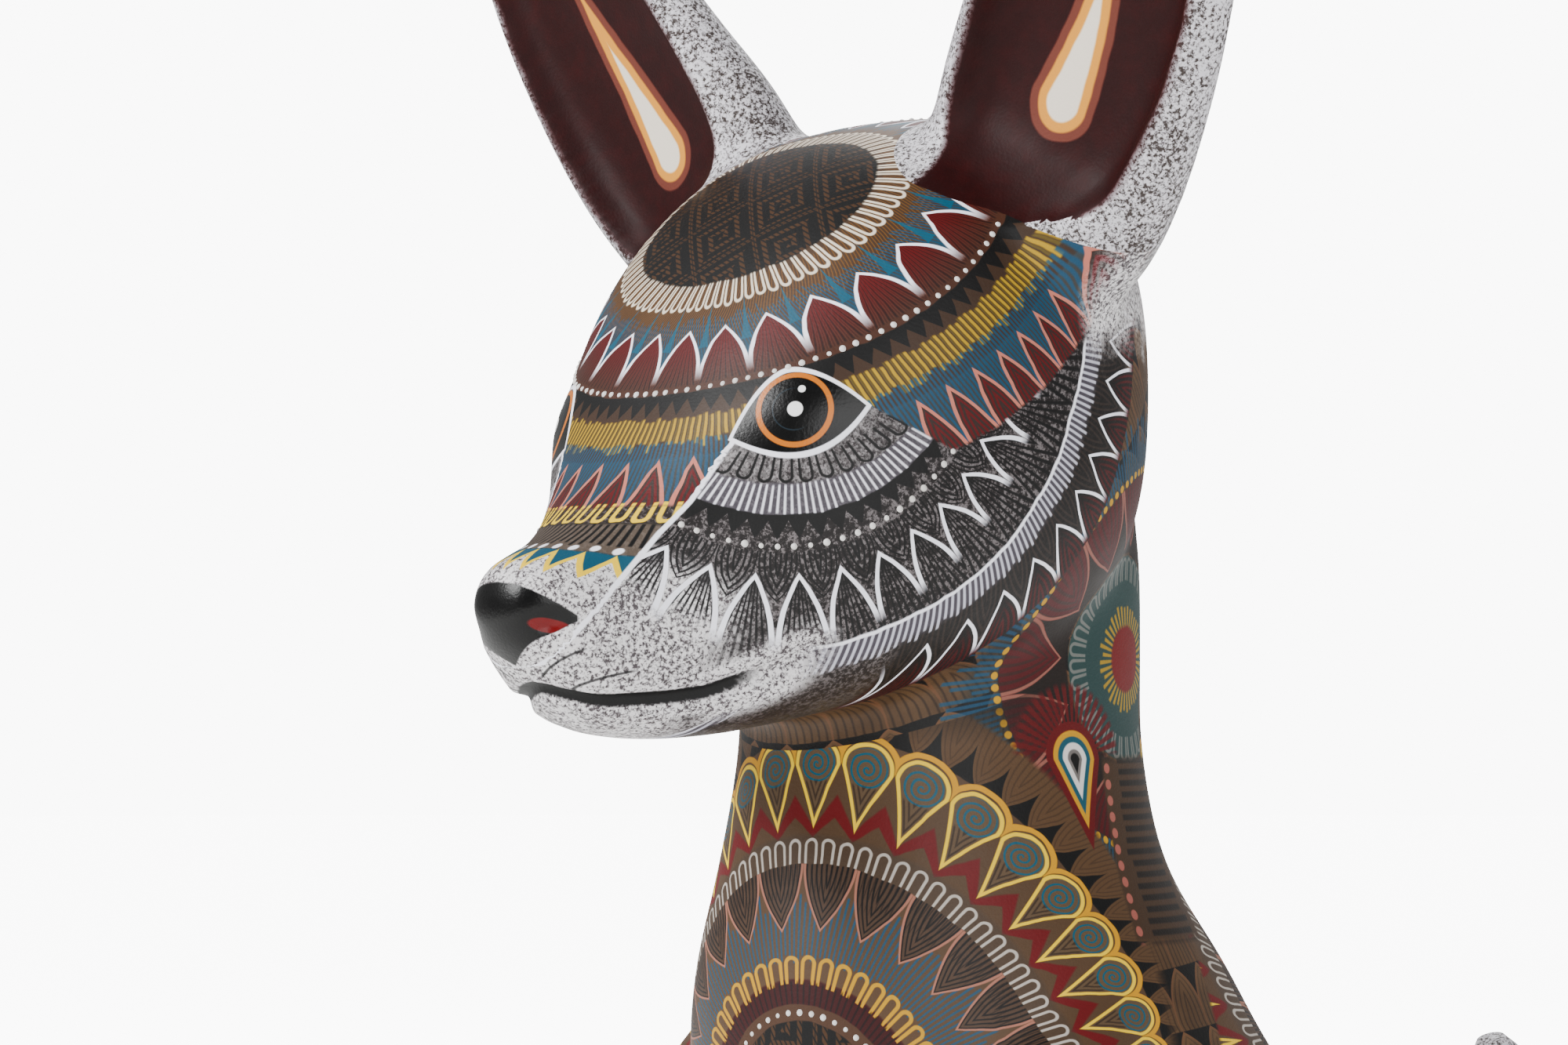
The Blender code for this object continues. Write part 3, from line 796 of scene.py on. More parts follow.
def coats(under, *layers):
    """Coats of paint over what is under them, each a mask and its colour, laid in this order."""
    for mask, colour in layers:
        tree = next(one.tree for one in (mask, under, colour) if isinstance(one, Field))
        under = add_node(tree, "Mix", {0: mask, 6: under, 7: colour}, 2, data_type="RGBA")
    return under


def built_group(draw):
    """A group of nodes from a drawing, with an input for each of its arguments."""
    tree = bpy.data.node_groups.new(draw.__name__, "ShaderNodeTree")
    labels = inspect.signature(draw).parameters
    for label in labels:
        tree.interface.new_socket(label.capitalize(), in_out="INPUT",
                                  socket_type=draw.__annotations__.get(label, MASK))
    source = tree.nodes.new("NodeGroupInput")
    drawn = draw(*(Field(tree, one) for one in source.outputs[:len(labels)]))
    drawn = {"Result": drawn} if isinstance(drawn, Field) else drawn
    for label, value in drawn.items():
        tree.interface.new_socket(label, in_out="OUTPUT", socket_type=(
            SHADE if value.socket.type == "RGBA" else MASK))
    end = tree.nodes.new("NodeGroupOutput")
    for label, value in drawn.items():
        plug(tree, value, end.inputs[label])
    return tree


def brush(draw):
    """Turns a drawing into a stroke: called with fields, it places the drawing's group.

    A drawing takes fields and returns one, or several by name. Its group is built only once.
    """

    def stroke(*values, tree=None):
        tree = tree or next(one.tree for one in values if isinstance(one, Field))
        node = tree.nodes.new("ShaderNodeGroup")
        node.node_tree = bpy.data.node_groups.get(draw.__name__) or built_group(draw)
        for value, spot in zip(values, node.inputs):
            plug(tree, value, spot)
        made = [Field(tree, one) for one in node.outputs]
        return made[0] if len(made) == 1 else made

    return stroke


@brush
def petals(far, around, base, tip, wide, curve, line):
    """A row of petals from base to tip, one to each cell; curve rounds their sides."""
    rise = (far - base) / (tip - base)
    level = abs(around.cell()) * 2 / wide + rise.most(0) ** curve
    inside = level.under(1, 0.04) * rise.over(0, 0.02)
    return {"Inside": inside, "Outline": inside * level.over(1 - line, 0.03), "Level": level,
            "Rise": rise}


@brush
def loops(far, around, pitch, foot, head, half, line):
    """A row of narrow arches, open at the foot and round at the head."""
    rise = (far - foot) * (head - foot).sum("SIGN")
    bend = (rise - (abs(head - foot) - half)).most(0)
    reach = (around.cell() * pitch).hypot(bend)
    return abs(reach - half).under(line / 2, 0.14) * rise.over(0, 0.2)


@brush
def dots(far, around, pitch, at, radius):
    return (around.cell() * pitch).hypot(far - at).under(radius, 0.16)


@brush
def hatching(far, around, pitch, low, high, line, ragged):
    """A row of strokes side by side, each ending short by its own luck."""
    luck = add_node(far.tree, "TexWhiteNoise", {"W": around.sum("FLOOR")}, "Value",
                    noise_dimensions="1D")
    short = luck * ragged
    return (abs(around.cell() * pitch).under(line / 2, 0.16)
            * far.over(low + short * 0.4, 0.3) * far.under(high - short, 0.3))


@brush
def teeth(far, around, base, height):
    """A row of saw teeth that stand on the base."""
    return far.under(base + height * (1 - abs(around.cell()) * 2), 0.16)


@brush
def fret(across, along, size):
    """Squares with a stepped spiral in each, drawn in dashes."""
    over, up = (across / size).cell() * 2, (along / size).cell() * 2
    square = abs(over).most(abs(up))
    turn = up.sum("ARCTAN2", over) * (2 / math.pi) + 0.5
    stepped = square - turn.sum("FLOOR") * 0.095
    line = (stepped / 0.38 + 0.1).lines(0.21, 0.08) * square.under(0.82, 0.04)
    border = abs(square - 0.96).under(0.03, 0.03)
    return line.most(border) * ((across + along * 0.6) / 0.85).lines(0.34, 0.2)


@brush
def spiral(across, along, spacing):
    turn = along.sum("ARCTAN2", across) * (0.5 / math.pi)
    return (across.hypot(along) / spacing + turn).lines(0.17, 0.14)


@brush
def speckle(light: SHADE, dark: SHADE, cover, size):
    """Light fur over dark, dabbed on with a nearly dry brush."""
    tree = cover.tree
    fine = add_node(tree, "TexNoise", {
        "Detail": 3.0, "Roughness": 0.75, "Scale": size ** -1.0 * MM, "Vector": place(tree)},
        "Fac")
    seen = fine + (noise(tree, 7.0) - 0.5) * 0.22 + (cover - 0.5) * 0.5
    return coats(dark, (seen.over(0.5, 0.13), light))


@brush
def crown_rings(far, around, across, along, ground: SHADE):
    """The rings round the crown's black patch, which the haunches wear too."""
    turned, lifted = across * 0.80 + along * 0.60, along * 0.80 - across * 0.60
    patch = far.under(35.2, 0.25)
    inside, outline, _, rise = petals(far, around, 49.6, 41.2, 1.04, 3.0, 0.16)
    fan = (around.cell() / (1.15 - rise * 0.85).most(0.15) * 9).cell()
    petal = coats(
        "5b4034", (rise.ramp(0.0, 0.75), MAROON), (abs(fan).under(0.10, 0.14) * 0.6, "2b1512"),
        (abs(abs(fan) - 0.3).under(0.07, 0.1) * rise.under(0.6, 0.6) * 0.3, "8d6a55"))
    return coats(
        ground,
        # teal haze round the patch, drawn in by fine strokes and spikes
        (hatching(far, around * 13 + far * 0.9, 0.8, 35.5, 43.0, 0.26, 2.0) * 0.75, "94713a"),
        (hatching(far, around * 14 - far * 0.7, 0.8, 39.5, 50.0, 0.36, 4.0) * 0.85, TEAL),
        (far.within(44.2, 60.0, 3.0) * 0.8, "336a80"),
        (petals(far, around + 0.5, 44.0, 37.8, 0.26, 0.6, 0.1)[0] * 0.8, SEA),
        # cream loops, open towards the black patch with its dashed frets
        (loops(far, around * 3, 1.9, 34.8, 38.4, 0.62, 0.42), CREAM),
        (patch, BLACK),
        (fret(turned, lifted, 10.5) * patch * 0.8, "705539"),
        # maroon petals, then the black ring with saw teeth
        (inside, petal),
        (outline * rise.over(0.24, 0.3), WHITE),
        (far.within(49.3, 60.0, 0.3), "674838"),
        (far.within(50.4, 60.0, 0.3), "5d4a3b"),
        (teeth(far, around * 3.4, 51.3, 2.3) * far.over(50.4, 0.15), BLACK),
        # the yellow strokes, each over a duller one, and the teal strokes
        (hatching(far, around * 10 + 0.45, 1.0, 53.7, 59.0, 0.30, 1.7) * 0.92, "80713a"),
        (hatching(far, around * 10, 1.0, 53.7, 59.0, 0.46, 1.7) * 0.92, "c6ac2c"),
        (far.within(60.0, 69.0, 1.6) * 0.35, "336275"),
        (hatching(far, around * 16, 0.7, 57.4, 69.5, 0.40, 1.4) * 0.85, TEAL))


@brush
def leaf_ground(far, around, size):
    """Brown leaves that overlap in rows, each row set half a leaf round."""
    row = far / size
    inside, outline, level, rise = petals(
        row.sum("FRACT"), around + row.sum("FLOOR") * 0.5, 0.0, 1.0, 1.08, 3.6, 0.11)
    return coats(
        "78634c", (noise(far.tree, 6.0, 3.0).ramp(0.35, 0.7) * 0.6, "63503e"),
        (1 - inside, "1b1512"),
        ((level * 3.4).lines(0.13, 0.2) * inside * 0.55, "2e231c"),
        (rise.over(0.75, 0.5) * inside * 0.3, "9a8064"),
        (outline * 0.6, "8a6a52"))


@brush
def nape_rings(far, turn, ground: SHADE):
    """The rings on the side of the neck: dots, red petals, grey loops and a red middle."""
    inside, outline, level, _ = petals(far, turn / 24.0, 28.0, 17.0, 1.0, 2.6, 0.10)
    return coats(
        ground, (far.within(27.0, 33.0, 2.0) * 0.45, "2c4a54"),
        (hatching(far, turn / 1.6, 0.8, 27.5, 37.0, 0.46, 5.0) * 0.75, TEAL),
        (far.within(16.0, 28.0, 0.4), "3a2c24"),
        (inside, coats("5a3530", ((level * 4.4).lines(0.3, 0.16), "6e1a26"))),
        (outline * 0.8, "b08478"),
        (dots(far, turn / 3.6, 1.75, 28.6, 0.55), OCHRE),
        (far.under(15.6, 0.3), "45605f"),
        (loops(far, turn / 10.0, 2.4, 11.8, 15.2, 0.8, 0.5) * 0.7, "9a9894"),
        (hatching(far, turn / 9.0, 1.0, 4.6, 8.4, 0.5, 1.0), "b39a3e"),
        (far.under(5.0, 0.6), "8a2a2c"))


@brush
def breast_rings(far, turn, across, along, ground: SHADE):
    """The breast's rings, which the back wears too, and the tops of the front legs."""
    leaf, _, vein, _ = petals(far, turn / 4.4, 70.0, 59.4, 1.06, 3.8, 0.12)
    cell = (turn / 8.8 + 0.045).cell()
    x, zig = cell * 8.0, abs(cell) * 6.4
    head = far - 55.4
    reach = x.hypot(head.most(0)) + (0 - head).most(0) * 0.39
    drop = reach.under(3.75, 0.15)
    inside, outline, level, rise = petals(far, turn / 13.4 - 0.0075, 40.2, 29.4, 1.0, 2.1, 0.10)
    middle = far.under(15.0, 0.2)
    return coats(
        ground,
        # dark leaves that lie just outside the scallops
        (far.within(57.0, 65.0, 2.0), "171311"),
        (leaf, "77614a"),
        ((vein * 3.2).lines(0.12, 0.2) * leaf * 0.35, "3d2f25"),
        (far.under(59.5, 0.2), "74604c"),
        # red wedges between the drops
        (far.over(zig + 44.2, 0.3) * far.under(zig * 1.6 + 45.6, 0.6) * 0.92, "86182a"),
        # drops: a round head with a spiral, drawn out to a point inwards
        (drop, "7d6c58"),
        (spiral(x, head, 0.95) * x.hypot(head).under(3.0, 0.4) * 0.9, SEA),
        ((reach / 0.8).lines(0.2, 0.2) * head.under(-2.6, 0.5) * drop * 0.6, "3b2c22"),
        (reach.within(3.25, 3.85, 0.16), YELLOW),
        (x.hypot(head - 0.3).within(3.9, 4.75, 0.16) * head.over(0.2, 0.4), "d2aa26"),
        # grey band and white loops
        (far.within(40.0, 44.6, 0.8) * 0.6, "675b50"),
        (loops(far, turn / 4.1, 3.0, 40.2, 43.9, 0.92, 0.46) * 0.92, "c9c4be"),
        # teal fans, then brown petals with nested lines and a pink edge
        (hatching(far, turn / 1.7, 0.9, 24.0, 37.0, 0.36, 4.0) * 0.85, TEAL),
        (inside, coats(
            "6c594b", ((level * 5.2).lines(0.18, 0.16), "261b15"),
            ((turn / 1.3).lines(0.12, 0.12) * rise.under(0.5, 0.2) * 0.5, "261b15"))),
        (outline * 0.9, "b98d7d"),
        # dull yellow loops, the maroon ring, and the dark middle
        (far.under(21.4, 0.4), "5a1b20"),
        (loops(far, turn / 7.2, 2.9, 20.6, 25.0, 0.95, 0.62), OCHRE),
        ((turn / 3.0).lines(0.16, 0.14) * far.under(21.0, 0.5) * 0.7, "2c0d10"),
        (far.under(17.6, 0.2), "6b5342"),
        (middle, BLACK),
        (fret(across, along, 10.5) * middle * 0.8, "705539"))


@brush
def nose_shape(side, y, z):
    """The black tip of the nose and its red nostril."""
    wide = abs(side)
    top = 174.0 - (y + 90.0).most(0) * 0.62 - wide * 0.10
    foot = 162.4 + wide * 0.62
    nose = (z - top).most(foot - z).under(0.0, 0.25) * (wide * 0.8).hypot(
        (y + 90.0).most(0)).under(9.9, 0.3)
    slot_y, slot_z = y + 86.9, z - 167.9
    nostril = (slot_y * 0.55).hypot(slot_z * 1.25 + slot_y * 0.25).under(1.25, 0.2)
    return {"Nose": nose, "Nostril": nostril * wide.over(3.2, 0.4) * nose}


def salmon_petals(far, around, line):
    """Coats of pink-edged petals with nested red and brown chevrons."""
    inside, outline, level, _ = petals(far, around, 71.0, 60.2, 1.02, 2.2, line)
    chevrons = coats("54443f", ((level * 3.6 + 0.35).lines(0.26, 0.12), "7c1624"))
    return (inside * level.under(0.95, 0.05), chevrons), (outline, PINK)


def jaw_rows(cheek, sweep, smoke, wobble, ground):
    """The hatched strip along the jaw, the zigzag petals behind it, and the nape's rings."""
    nape, turn, _ = guide(cheek.tree, "nape")
    back = sweep.over(-76.0, 3.0)
    fan, _, nest, _ = petals(cheek, sweep / 7.7, 3.5, 12.5, 1.0, 2.2, 0.1)
    inside, outline, level, rise = petals(cheek, sweep / 7.7 + 0.5, 14.5, 6.2, 1.0, 2.0, 0.17)
    return coats(
        nape_rings(nape + wobble, turn, ground),
        (cheek.under(12.5, 0.8), coats("3a302b", (0.3, smoke))),
        # nested fans next to the strip, then white-edged petals that point at it
        (cheek.within(3.5, 11.0, 1.0) * back * 0.7, "221c1a"),
        (fan * abs((nest * 3.4).cell()).over(0.3, 0.14) * back * 0.45, "665953"),
        (inside * back, coats("3a2a26", ((level * 3.8).lines(0.22, 0.14), "6a2227"),
                              (rise.over(0.6, 0.5), "1d1716"))),
        (outline * rise.over(0.12, 0.2) * back, WHITE),
        # smoky brown towards the chin, then the strip
        ((1 - back) * cheek.over(3.0, 3.0),
         coats(smoke, (cheek.ramp(2.0, 16.0) * 0.85, "54463a"))),
        (cheek.under(3.8, 1.4) * 0.85, "6f6b74"),
        (hatching(cheek, sweep / 1.35, 0.98, 0.1, 4.6, 0.44, 1.0) * 0.95, "cfcfd8"),
        (cheek.under(0.55, 0.2), WHITE))


# ---------------------------------------------------------------------------------------------
# Materials
# ---------------------------------------------------------------------------------------------

SPECULAR = 0.24
DEEPEN = 1.6  # gamma that gives the paints their depth under the soft lights
FUR = ("dedce0", "67605e", 0.55, 0.62)  # light, dark, cover and size of the speckled grey
LEAF_ROW = 9.0
WHISKERS = (((3.2, 160.8), (9.8, 164.6)), ((5.6, 158.9), (12.6, 161.7)))
NECK_DROP = ((5.6, "7c1420"), (4.3, "c9a526"), (3.4, "33707e"), (2.5, "d8d6d4"),
             (1.5, "8a8684"), (0.9, "181414"))  # nested edges, from the outermost in


def new_skin(name, stray=3.2):
    """A new material, and what its paint follows: its tree, a wobble, blotches and the place."""
    made = bpy.data.materials.new(name)
    made.use_nodes = True
    tree = made.node_tree
    wobble = (noise(tree, stray, 1.0) - 0.5) * bpy.context.scene.fox_carving.wobble
    return made, tree, wobble, noise(tree, 6.0, 3.0), [one * MM for one in parts(place(tree))]


def finish_paint(made, shade, rough=0.52, relief=0.12, specular=SPECULAR):
    """Puts the colour on, with the uneven satin and the fine relief of brushed paint."""
    tree = made.node_tree
    if not isinstance(rough, Field):
        rough = noise(tree, 5.0) * 0.16 + (rough - 0.08)
    for label, value in (
        ("Base Color", add_node(tree, "Gamma", {"Color": shade, "Gamma": DEEPEN})),
        ("Roughness", rough),
        ("Specular IOR Level", specular),
        ("Normal", add_node(tree, "Bump", {
            "Strength": relief, "Distance": 0.0004, "Height": noise(tree, 0.45, 3.0)})),
    ):
        plug(tree, value, tree.nodes["Principled BSDF"].inputs[label])
    return made


def brown_ground(blotch):
    return coats(BROWN, (blotch.ramp(0.35, 0.7) * 0.5, "57463a"))


def leaves_up(tree):
    """Rows of leaves that go up the body from the ground."""
    lap, spin, _ = guide(tree, "lap")
    return leaf_ground(lap + 400, spin / 11.25, LEAF_ROW)


def head_material():
    """The head's paint, from the crown down to the jaw, and then the eye, mouth and nose."""
    made, tree, wobble, blotch, (side, along, height) = new_skin("painted_head")
    crown, around, back = guide(tree, "crown")
    crown, around = crown + wobble, around + wobble * 0.06
    u, v, depth = guide(tree, "eye")
    brow, turn, face = guide(tree, "brow")
    cheek, sweep, lips = guide(tree, "cheek")
    brow, cheek = brow + wobble, cheek + wobble
    ground = coats(brown_ground(blotch), (
        crown.over(70.0, 0.5), leaf_ground(140 - crown, around * 1.6, LEAF_ROW)))
    speckled = speckle("e4e2e3", "6e686b", 0.56, 0.6, tree=tree)
    smoke = speckle("8d8889", "3a3434", 0.44, 0.7, tree=tree)

    # the bridge of the nose: yellow loops, black hatching, teal with a yellow zigzag
    bridge = crown.over(67.4, 0.6) * depth.under(-59.0, 1.0)
    zig = abs((side / 3.0).cell()) * 6.4
    shade = coats(
        crown_rings(crown, around, side, back, ground),
        *salmon_petals(crown, around * 2.2, 0.21),
        (bridge, coats(smoke, (side.over(0.0, 12.0) * -0.5 + 0.75, "5b4a3c"))),
        (loops(crown, side / 2.9, 2.9, 66.9, 69.9, 0.85, 0.62) * bridge.most(
            crown.under(67.5, 0.5) * depth.under(-59.0, 1.0)), YELLOW),
        (abs(crown - 70.3).under(0.22, 0.15) * bridge, BLACK),
        (crown.within(70.2, 75.2, 0.4) * bridge * 0.75, "857a70"),
        (hatching(crown, side * 0.95, 1.05, 70.2, 74.2, 0.42, 0.6) * bridge, BLACK),
        (crown.over(75.2, 0.3) * bridge, "2c7084"),
        (dots(crown, side / 2.3, 2.3, 74.6, 0.5) * bridge, WHITE),
        (crown.over(zig + 76.0, 0.3) * bridge, speckled),
        (abs(crown - 75.8 - zig).under(0.62, 0.2) * bridge, YELLOW))

    # the cheek, under the eye: everything below the line from the eye to the nose
    below = face.over(0.0, 0.3).most(depth.over(-58.0, 0.4))
    wedge = turn.within(-62.0, 53.0, 1.2).most(crown.over(68.6, 0.5))
    muzzle = (depth - (lips - 6.0).least(12.0) * 0.35).under(-64.0, 9.0).most(
        lips.under(4.5, 2.5) * depth.under(-52.0, 6.0)).most(depth.under(-66.0, 4.0))
    nest, _, layer, _ = petals(brow, turn / 12.0, 54.2, 61.0, 0.98, 2.4, 0.1)
    inside, outline, _, rise = petals(brow, turn / 12.0 + 0.5, 68.5, 57.0, 1.0, 2.6, 0.21)
    petal = inside.most(brow.over(66.0, 1.0))
    fan = (turn / 12.0 + 0.5).cell() / (1.2 - rise * 0.8).most(0.2) * 9
    rays = fan.lines(0.20, 0.16) * (1 - muzzle * brow.over(65.0, 3.0)) * brow.under(80, 3.0)
    low = coats(
        smoke, (muzzle * brow.over(59.0, 4.0), speckled),
        (brow.under(45.0, 0.5) * 0.25, speckled),
        (brow.within(44.9, 49.2, 0.4) * 0.7, "77737b"),
        (loops(brow, turn / 11.0, 2.7, 41.2, 44.7, 0.80, 0.36), BLACK),
        (hatching(brow, turn / 3.0, 0.95, 44.9, 49.5, 0.34, 0.9) * 0.85, WHITE),
        (teeth(brow, turn / 7.5, 49.9, 2.5) * brow.over(49.1, 0.2), BLACK),
        # nested fans that hang between white-edged petals, which are hatched from their tips
        (nest * (layer * 3.6 + wobble * 0.3).lines(0.2, 0.15), BLACK),
        (petal * rise.over(0.72, 0.4) * 0.9, BLACK),
        (petal * rays * rise.over(-1.2, 1.2), BLACK),
        (outline * rise.over(0.14, 0.2), WHITE))
    chin = depth.under(-52.0, 5.0) * lips.under(6.0, 3.0)
    shade = coats(
        shade, (below * wedge, low),
        (face.within(-0.35, 0.45, 0.2) * crown.over(58.0, 0.3) * turn.under(20.0, 1.0), WHITE),
        (cheek.over(0.0, 0.25) * crown.over(69.2, 0.6),
         jaw_rows(cheek, sweep, smoke, wobble, ground)),
        (chin * below * brow.over(66.0, 1.0) * cheek.over(-3.0, 2.0), speckled))
    for (x, z), (end_x, end_z) in WHISKERS:
        slope = (end_z - z) / (end_x - x)
        hair = abs(height - z - (abs(side) - x) * slope).under(0.16, 0.12)
        shade = coats(shade, (
            hair * abs(side).within(x, end_x, 0.6) * depth.under(-70.0, 1.0) * 0.8, BLACK))

    # the eye, the mouth, the nose, and the speckled grey round the ears
    lid_top = 7.3 * (1 - (abs(u + 0.3) / 9.7) ** 1.7) - 1.3
    lid_low = 4.6 * ((abs(u) / 9.6) ** 2.0 - 1) - 1.3
    lids = (v - lid_top).most(lid_low - v)
    socket = brow.under(52.0, 0.1)
    iris = (u + 0.4).hypot(v - 0.3)
    nose, nostril = nose_shape(side, along - NECK_Y * MM, height)
    across, facing, rise = guide(tree, "ear")
    near = across.hypot(rise * 0.8).under(22.0 + (blotch - 0.5) * 14, 6.0) * facing.under(6.0, 4.0)
    shade = coats(
        shade, (lids.under(0.85, 0.18) * socket, WHITE),
        (lids.under(0.0, 0.18) * socket, "0b0a0b"),
        (iris.within(4.75, 5.55, 0.14), "cb8c36"),
        (abs(iris - 3.1).under(0.09, 0.1) * u.under(0.0, 2.0) * 0.7, "4c5c66"),
        ((u + 0.3).hypot(v - 0.2).under(1.12, 0.14), "f4f4f4"),
        ((u - 1.3).hypot(v - 2.9).under(0.55, 0.14), "f4f4f4"),
        ((lips + depth.ramp(-62.0, -52.0) * 0.7).under(1.35, 0.2), "070606"),
        (nose, "0d0c0d"),
        (nostril, "8c0b1c"),
        (near * crown.over(46.0, 3.0), speckled))
    dull = (1 - lids.under(0.0, 0.2) * socket) * (1 - nose) * 0.25 + 0.27
    return finish_paint(made, shade, dull + noise(tree, 5.0) * 0.12 - 0.05)


def body_material():
    """The torso's paint: breast and back rings on leaves, and the rows up the neck."""
    made, tree, wobble, _, (side, _, height) = new_skin("painted_body")
    ground = leaves_up(tree)
    far, turn, depth = guide(tree, "breast")
    far = far + wobble
    front = breast_rings(far, turn + wobble * 0.5, side, height, ground)
    is_front = depth.under(8.0, 3.0) * far.under(68.0, 1.0)
    far, turn, depth = guide(tree, "back")
    far = far * 1.25 + wobble
    rear = breast_rings(far, turn + wobble * 0.5, side, height, ground)
    nape, around, wide = guide(tree, "nape")
    cheek, sweep, _ = guide(tree, "cheek")
    smoke = speckle("95908f", "4b4443", 0.48, 0.7, tree=tree)
    jaw = cheek.within(0.0, 14.0, 0.3) * wide.over(14.0, 3.0)
    behind = height.within(122.0, 149.0, 1.5) * wide.over(5.0, 3.0)
    off_z = height - 149.0
    leaned = depth + 1.6 + off_z * 0.12
    reach = leaned.hypot(off_z.most(0)) + (0 - off_z).most(0) * 0.42 + wobble * 0.2
    return finish_paint(made, coats(
        ground,
        (nape.under(34.0, 2.0) * wide.over(6.0, 2.0) * height.over(126.0 + wobble * 3, 1.0),
         nape_rings(nape + wobble, around, ground)),
        (jaw, jaw_rows(cheek + wobble, sweep, smoke, wobble, ground)),
        (depth.over(20.0, 1.0) * far.under(68.0, 0.5), rear),
        (is_front, front),
        # painted shade: darker brown just under the jaw, where the jaw's shadow falls
        (height.over(154.0, 6.0) * depth.under(-8.0, 12.0) * (1 - jaw) * 0.6, "2a221c"),
        # a pink beaded line behind the drop, and dark strokes on round the back of the neck
        (behind * depth.within(4.6, 25.0, 0.8), "63503e"),
        (hatching(depth, height / 1.7, 1.0, 8.0, 25.0, 0.5, 4.0) * behind * 0.75, "1b1512"),
        (dots(depth, height / 2.4, 2.4, 5.8, 0.75) * behind, "b07a70"),
        # the bare round seat that the tail's root covers
        (side.hypot(height - 34.0).under(8.3, 0.3) * depth.over(80.0, 1.0), "cfb084"),
        # a drop with nested edges on each side of the neck, and red strokes that fan out over it
        ((off_z.sum("ARCTAN2", leaned) * 7.0).lines(0.3, 0.16) * off_z.over(1.0, 1.0)
         * leaned.hypot(off_z).within(5.0, 11.0, 1.0) * wide.over(12.0, 1.0) * 0.85, "7c1420"),
        *((reach.under(edge, 0.2) * wide.over(12.0, 1.0), colour) for edge, colour in NECK_DROP)))


def haunch_material():
    """The hind legs' paint: the crown's rings on the haunch, leaves round them, grey feet."""
    made, tree, wobble, blotch, (_, along, height) = new_skin("painted_haunches")
    far, turn, _ = guide(tree, "haunch")
    far = far * 1.12 + wobble + 23.5
    foot = height.under(16.0 + (blotch - 0.5) * 8.0, 5.0) * (along - NECK_Y * MM).under(48.0, 12.0)
    return finish_paint(made, coats(
        crown_rings(far, turn / 20.0, along, height, leaves_up(tree)),
        *salmon_petals(far, turn / 10.0, 0.17),
        (foot, speckle(*FUR, tree=tree))))


def shin_material():
    """The front legs' paint: the breast's rings run on to them, then rows down to grey paws."""
    made, tree, wobble, blotch, (side, _, _) = new_skin("painted_shins")
    height, turn, _ = guide(tree, "shin")
    height = height + wobble
    ground = brown_ground(blotch)
    far, spin, _ = guide(tree, "breast")
    inside, outline, level, rise = petals(height, turn / 40, 47.5, 36.0, 1.0, 2.4, 0.13)
    return finish_paint(made, coats(
        breast_rings(far + wobble, spin, side, height, ground),
        (height.under(46.0, 0.3), ground),
        (inside, coats("5b4034", (rise.ramp(0.0, 0.8), MAROON),
                       ((level * 4.0).lines(0.14, 0.14) * 0.7, "2b1512"))),
        (outline, WHITE),
        (height.within(27.5, 32.5, 0.3), "14425a"),
        (hatching(height, turn / 6.0, 1.1, 27.5, 33.0, 0.45, 1.2), YELLOW),
        (teeth(27.5 - height, turn / 20.0, 0.8, 2.6) * height.under(27.5, 0.2), BLACK),
        (dots(height, turn / 11.25, 2.3, 48.4, 0.55), WHITE),
        (height.under(19.0 + (blotch - 0.5) * 6.0, 4.0), speckle(*FUR, tree=tree))))


def ear_material():
    """The ears: speckled outside, a dark red bowl with nested drops inside."""
    made, tree, wobble, _, _ = new_skin("painted_ears", stray=5.0)
    across, _, along = guide(tree, "ear")
    bowl, _, _ = guide(tree, "bowl")
    rise = along - 15.0
    reach = across.hypot(rise.least(0)) + rise.most(0) * 0.13 + wobble
    inside = coats(
        "480f12", (noise(tree, 2.6, 3.0).ramp(0.4, 0.75) * 0.5, "5a1518"),
        (reach.under(5.7, 0.35), "8a5b50"),
        (reach.under(4.3, 0.35), "d9a955"),
        (reach.under(2.8, 0.35), "e6dfd4"))
    light, dark, _, size = FUR
    return finish_paint(made, coats(
        speckle(light, dark, 0.53, size, tree=tree),
        ((bowl + wobble * 0.05).over(0.5, 0.10), inside)), rough=0.56, specular=0.14)


def tail_material():
    """The tail: a row of red petals, a row of dark ones against it, and a grey tip."""
    made, tree, wobble, blotch, _ = new_skin("painted_tail")
    along, turn, _ = guide(tree, "tail")
    along = along + wobble
    red, red_edge, _, _ = petals(along, turn / 36, 8.0, 24.0, 1.0, 1.7, 0.12)
    inside, outline, level, _ = petals(along, turn / 36 + 0.5, 34.0, 22.0, 1.0, 1.7, 0.12)
    return finish_paint(made, coats(
        brown_ground(blotch), (red, "701624"), (red_edge, WHITE),
        (inside, coats("5b4f49", ((level * 4.4).lines(0.24, 0.14), BLACK))),
        (outline, PINK),
        (along.over(48.0 + (blotch - 0.5) * 10.0, 5.0), speckle(*FUR, tree=tree))))


def wood_material():
    """Bare wood of pegs, dowels and sawn faces: long grain with darker streaks."""
    if "bare_wood" in bpy.data.materials:
        return bpy.data.materials["bare_wood"]
    made, tree, *_ = new_skin("bare_wood")
    stretched = add_node(tree, "Mapping", {"Scale": (1.0, 1.0, 0.12), "Vector": place(tree)})
    grain = noise(tree, 0.9, 4.0, stretched)
    return finish_paint(made, coats("d6b98c", (grain.ramp(0.35, 0.7), "b8925e")), rough=0.7,
                        relief=0.2)


def dot_material():
    """Thick white paint, a little yellowed and scuffed."""
    made, tree, *_ = new_skin("white_dots")
    scuffs = noise(tree, 2.0).ramp(0.5, 0.8) * 0.4
    return finish_paint(made, coats("e4e2e0", (scuffs, "b9b2a6")), rough=0.45)


# ---------------------------------------------------------------------------------------------
# Pieces
# ---------------------------------------------------------------------------------------------

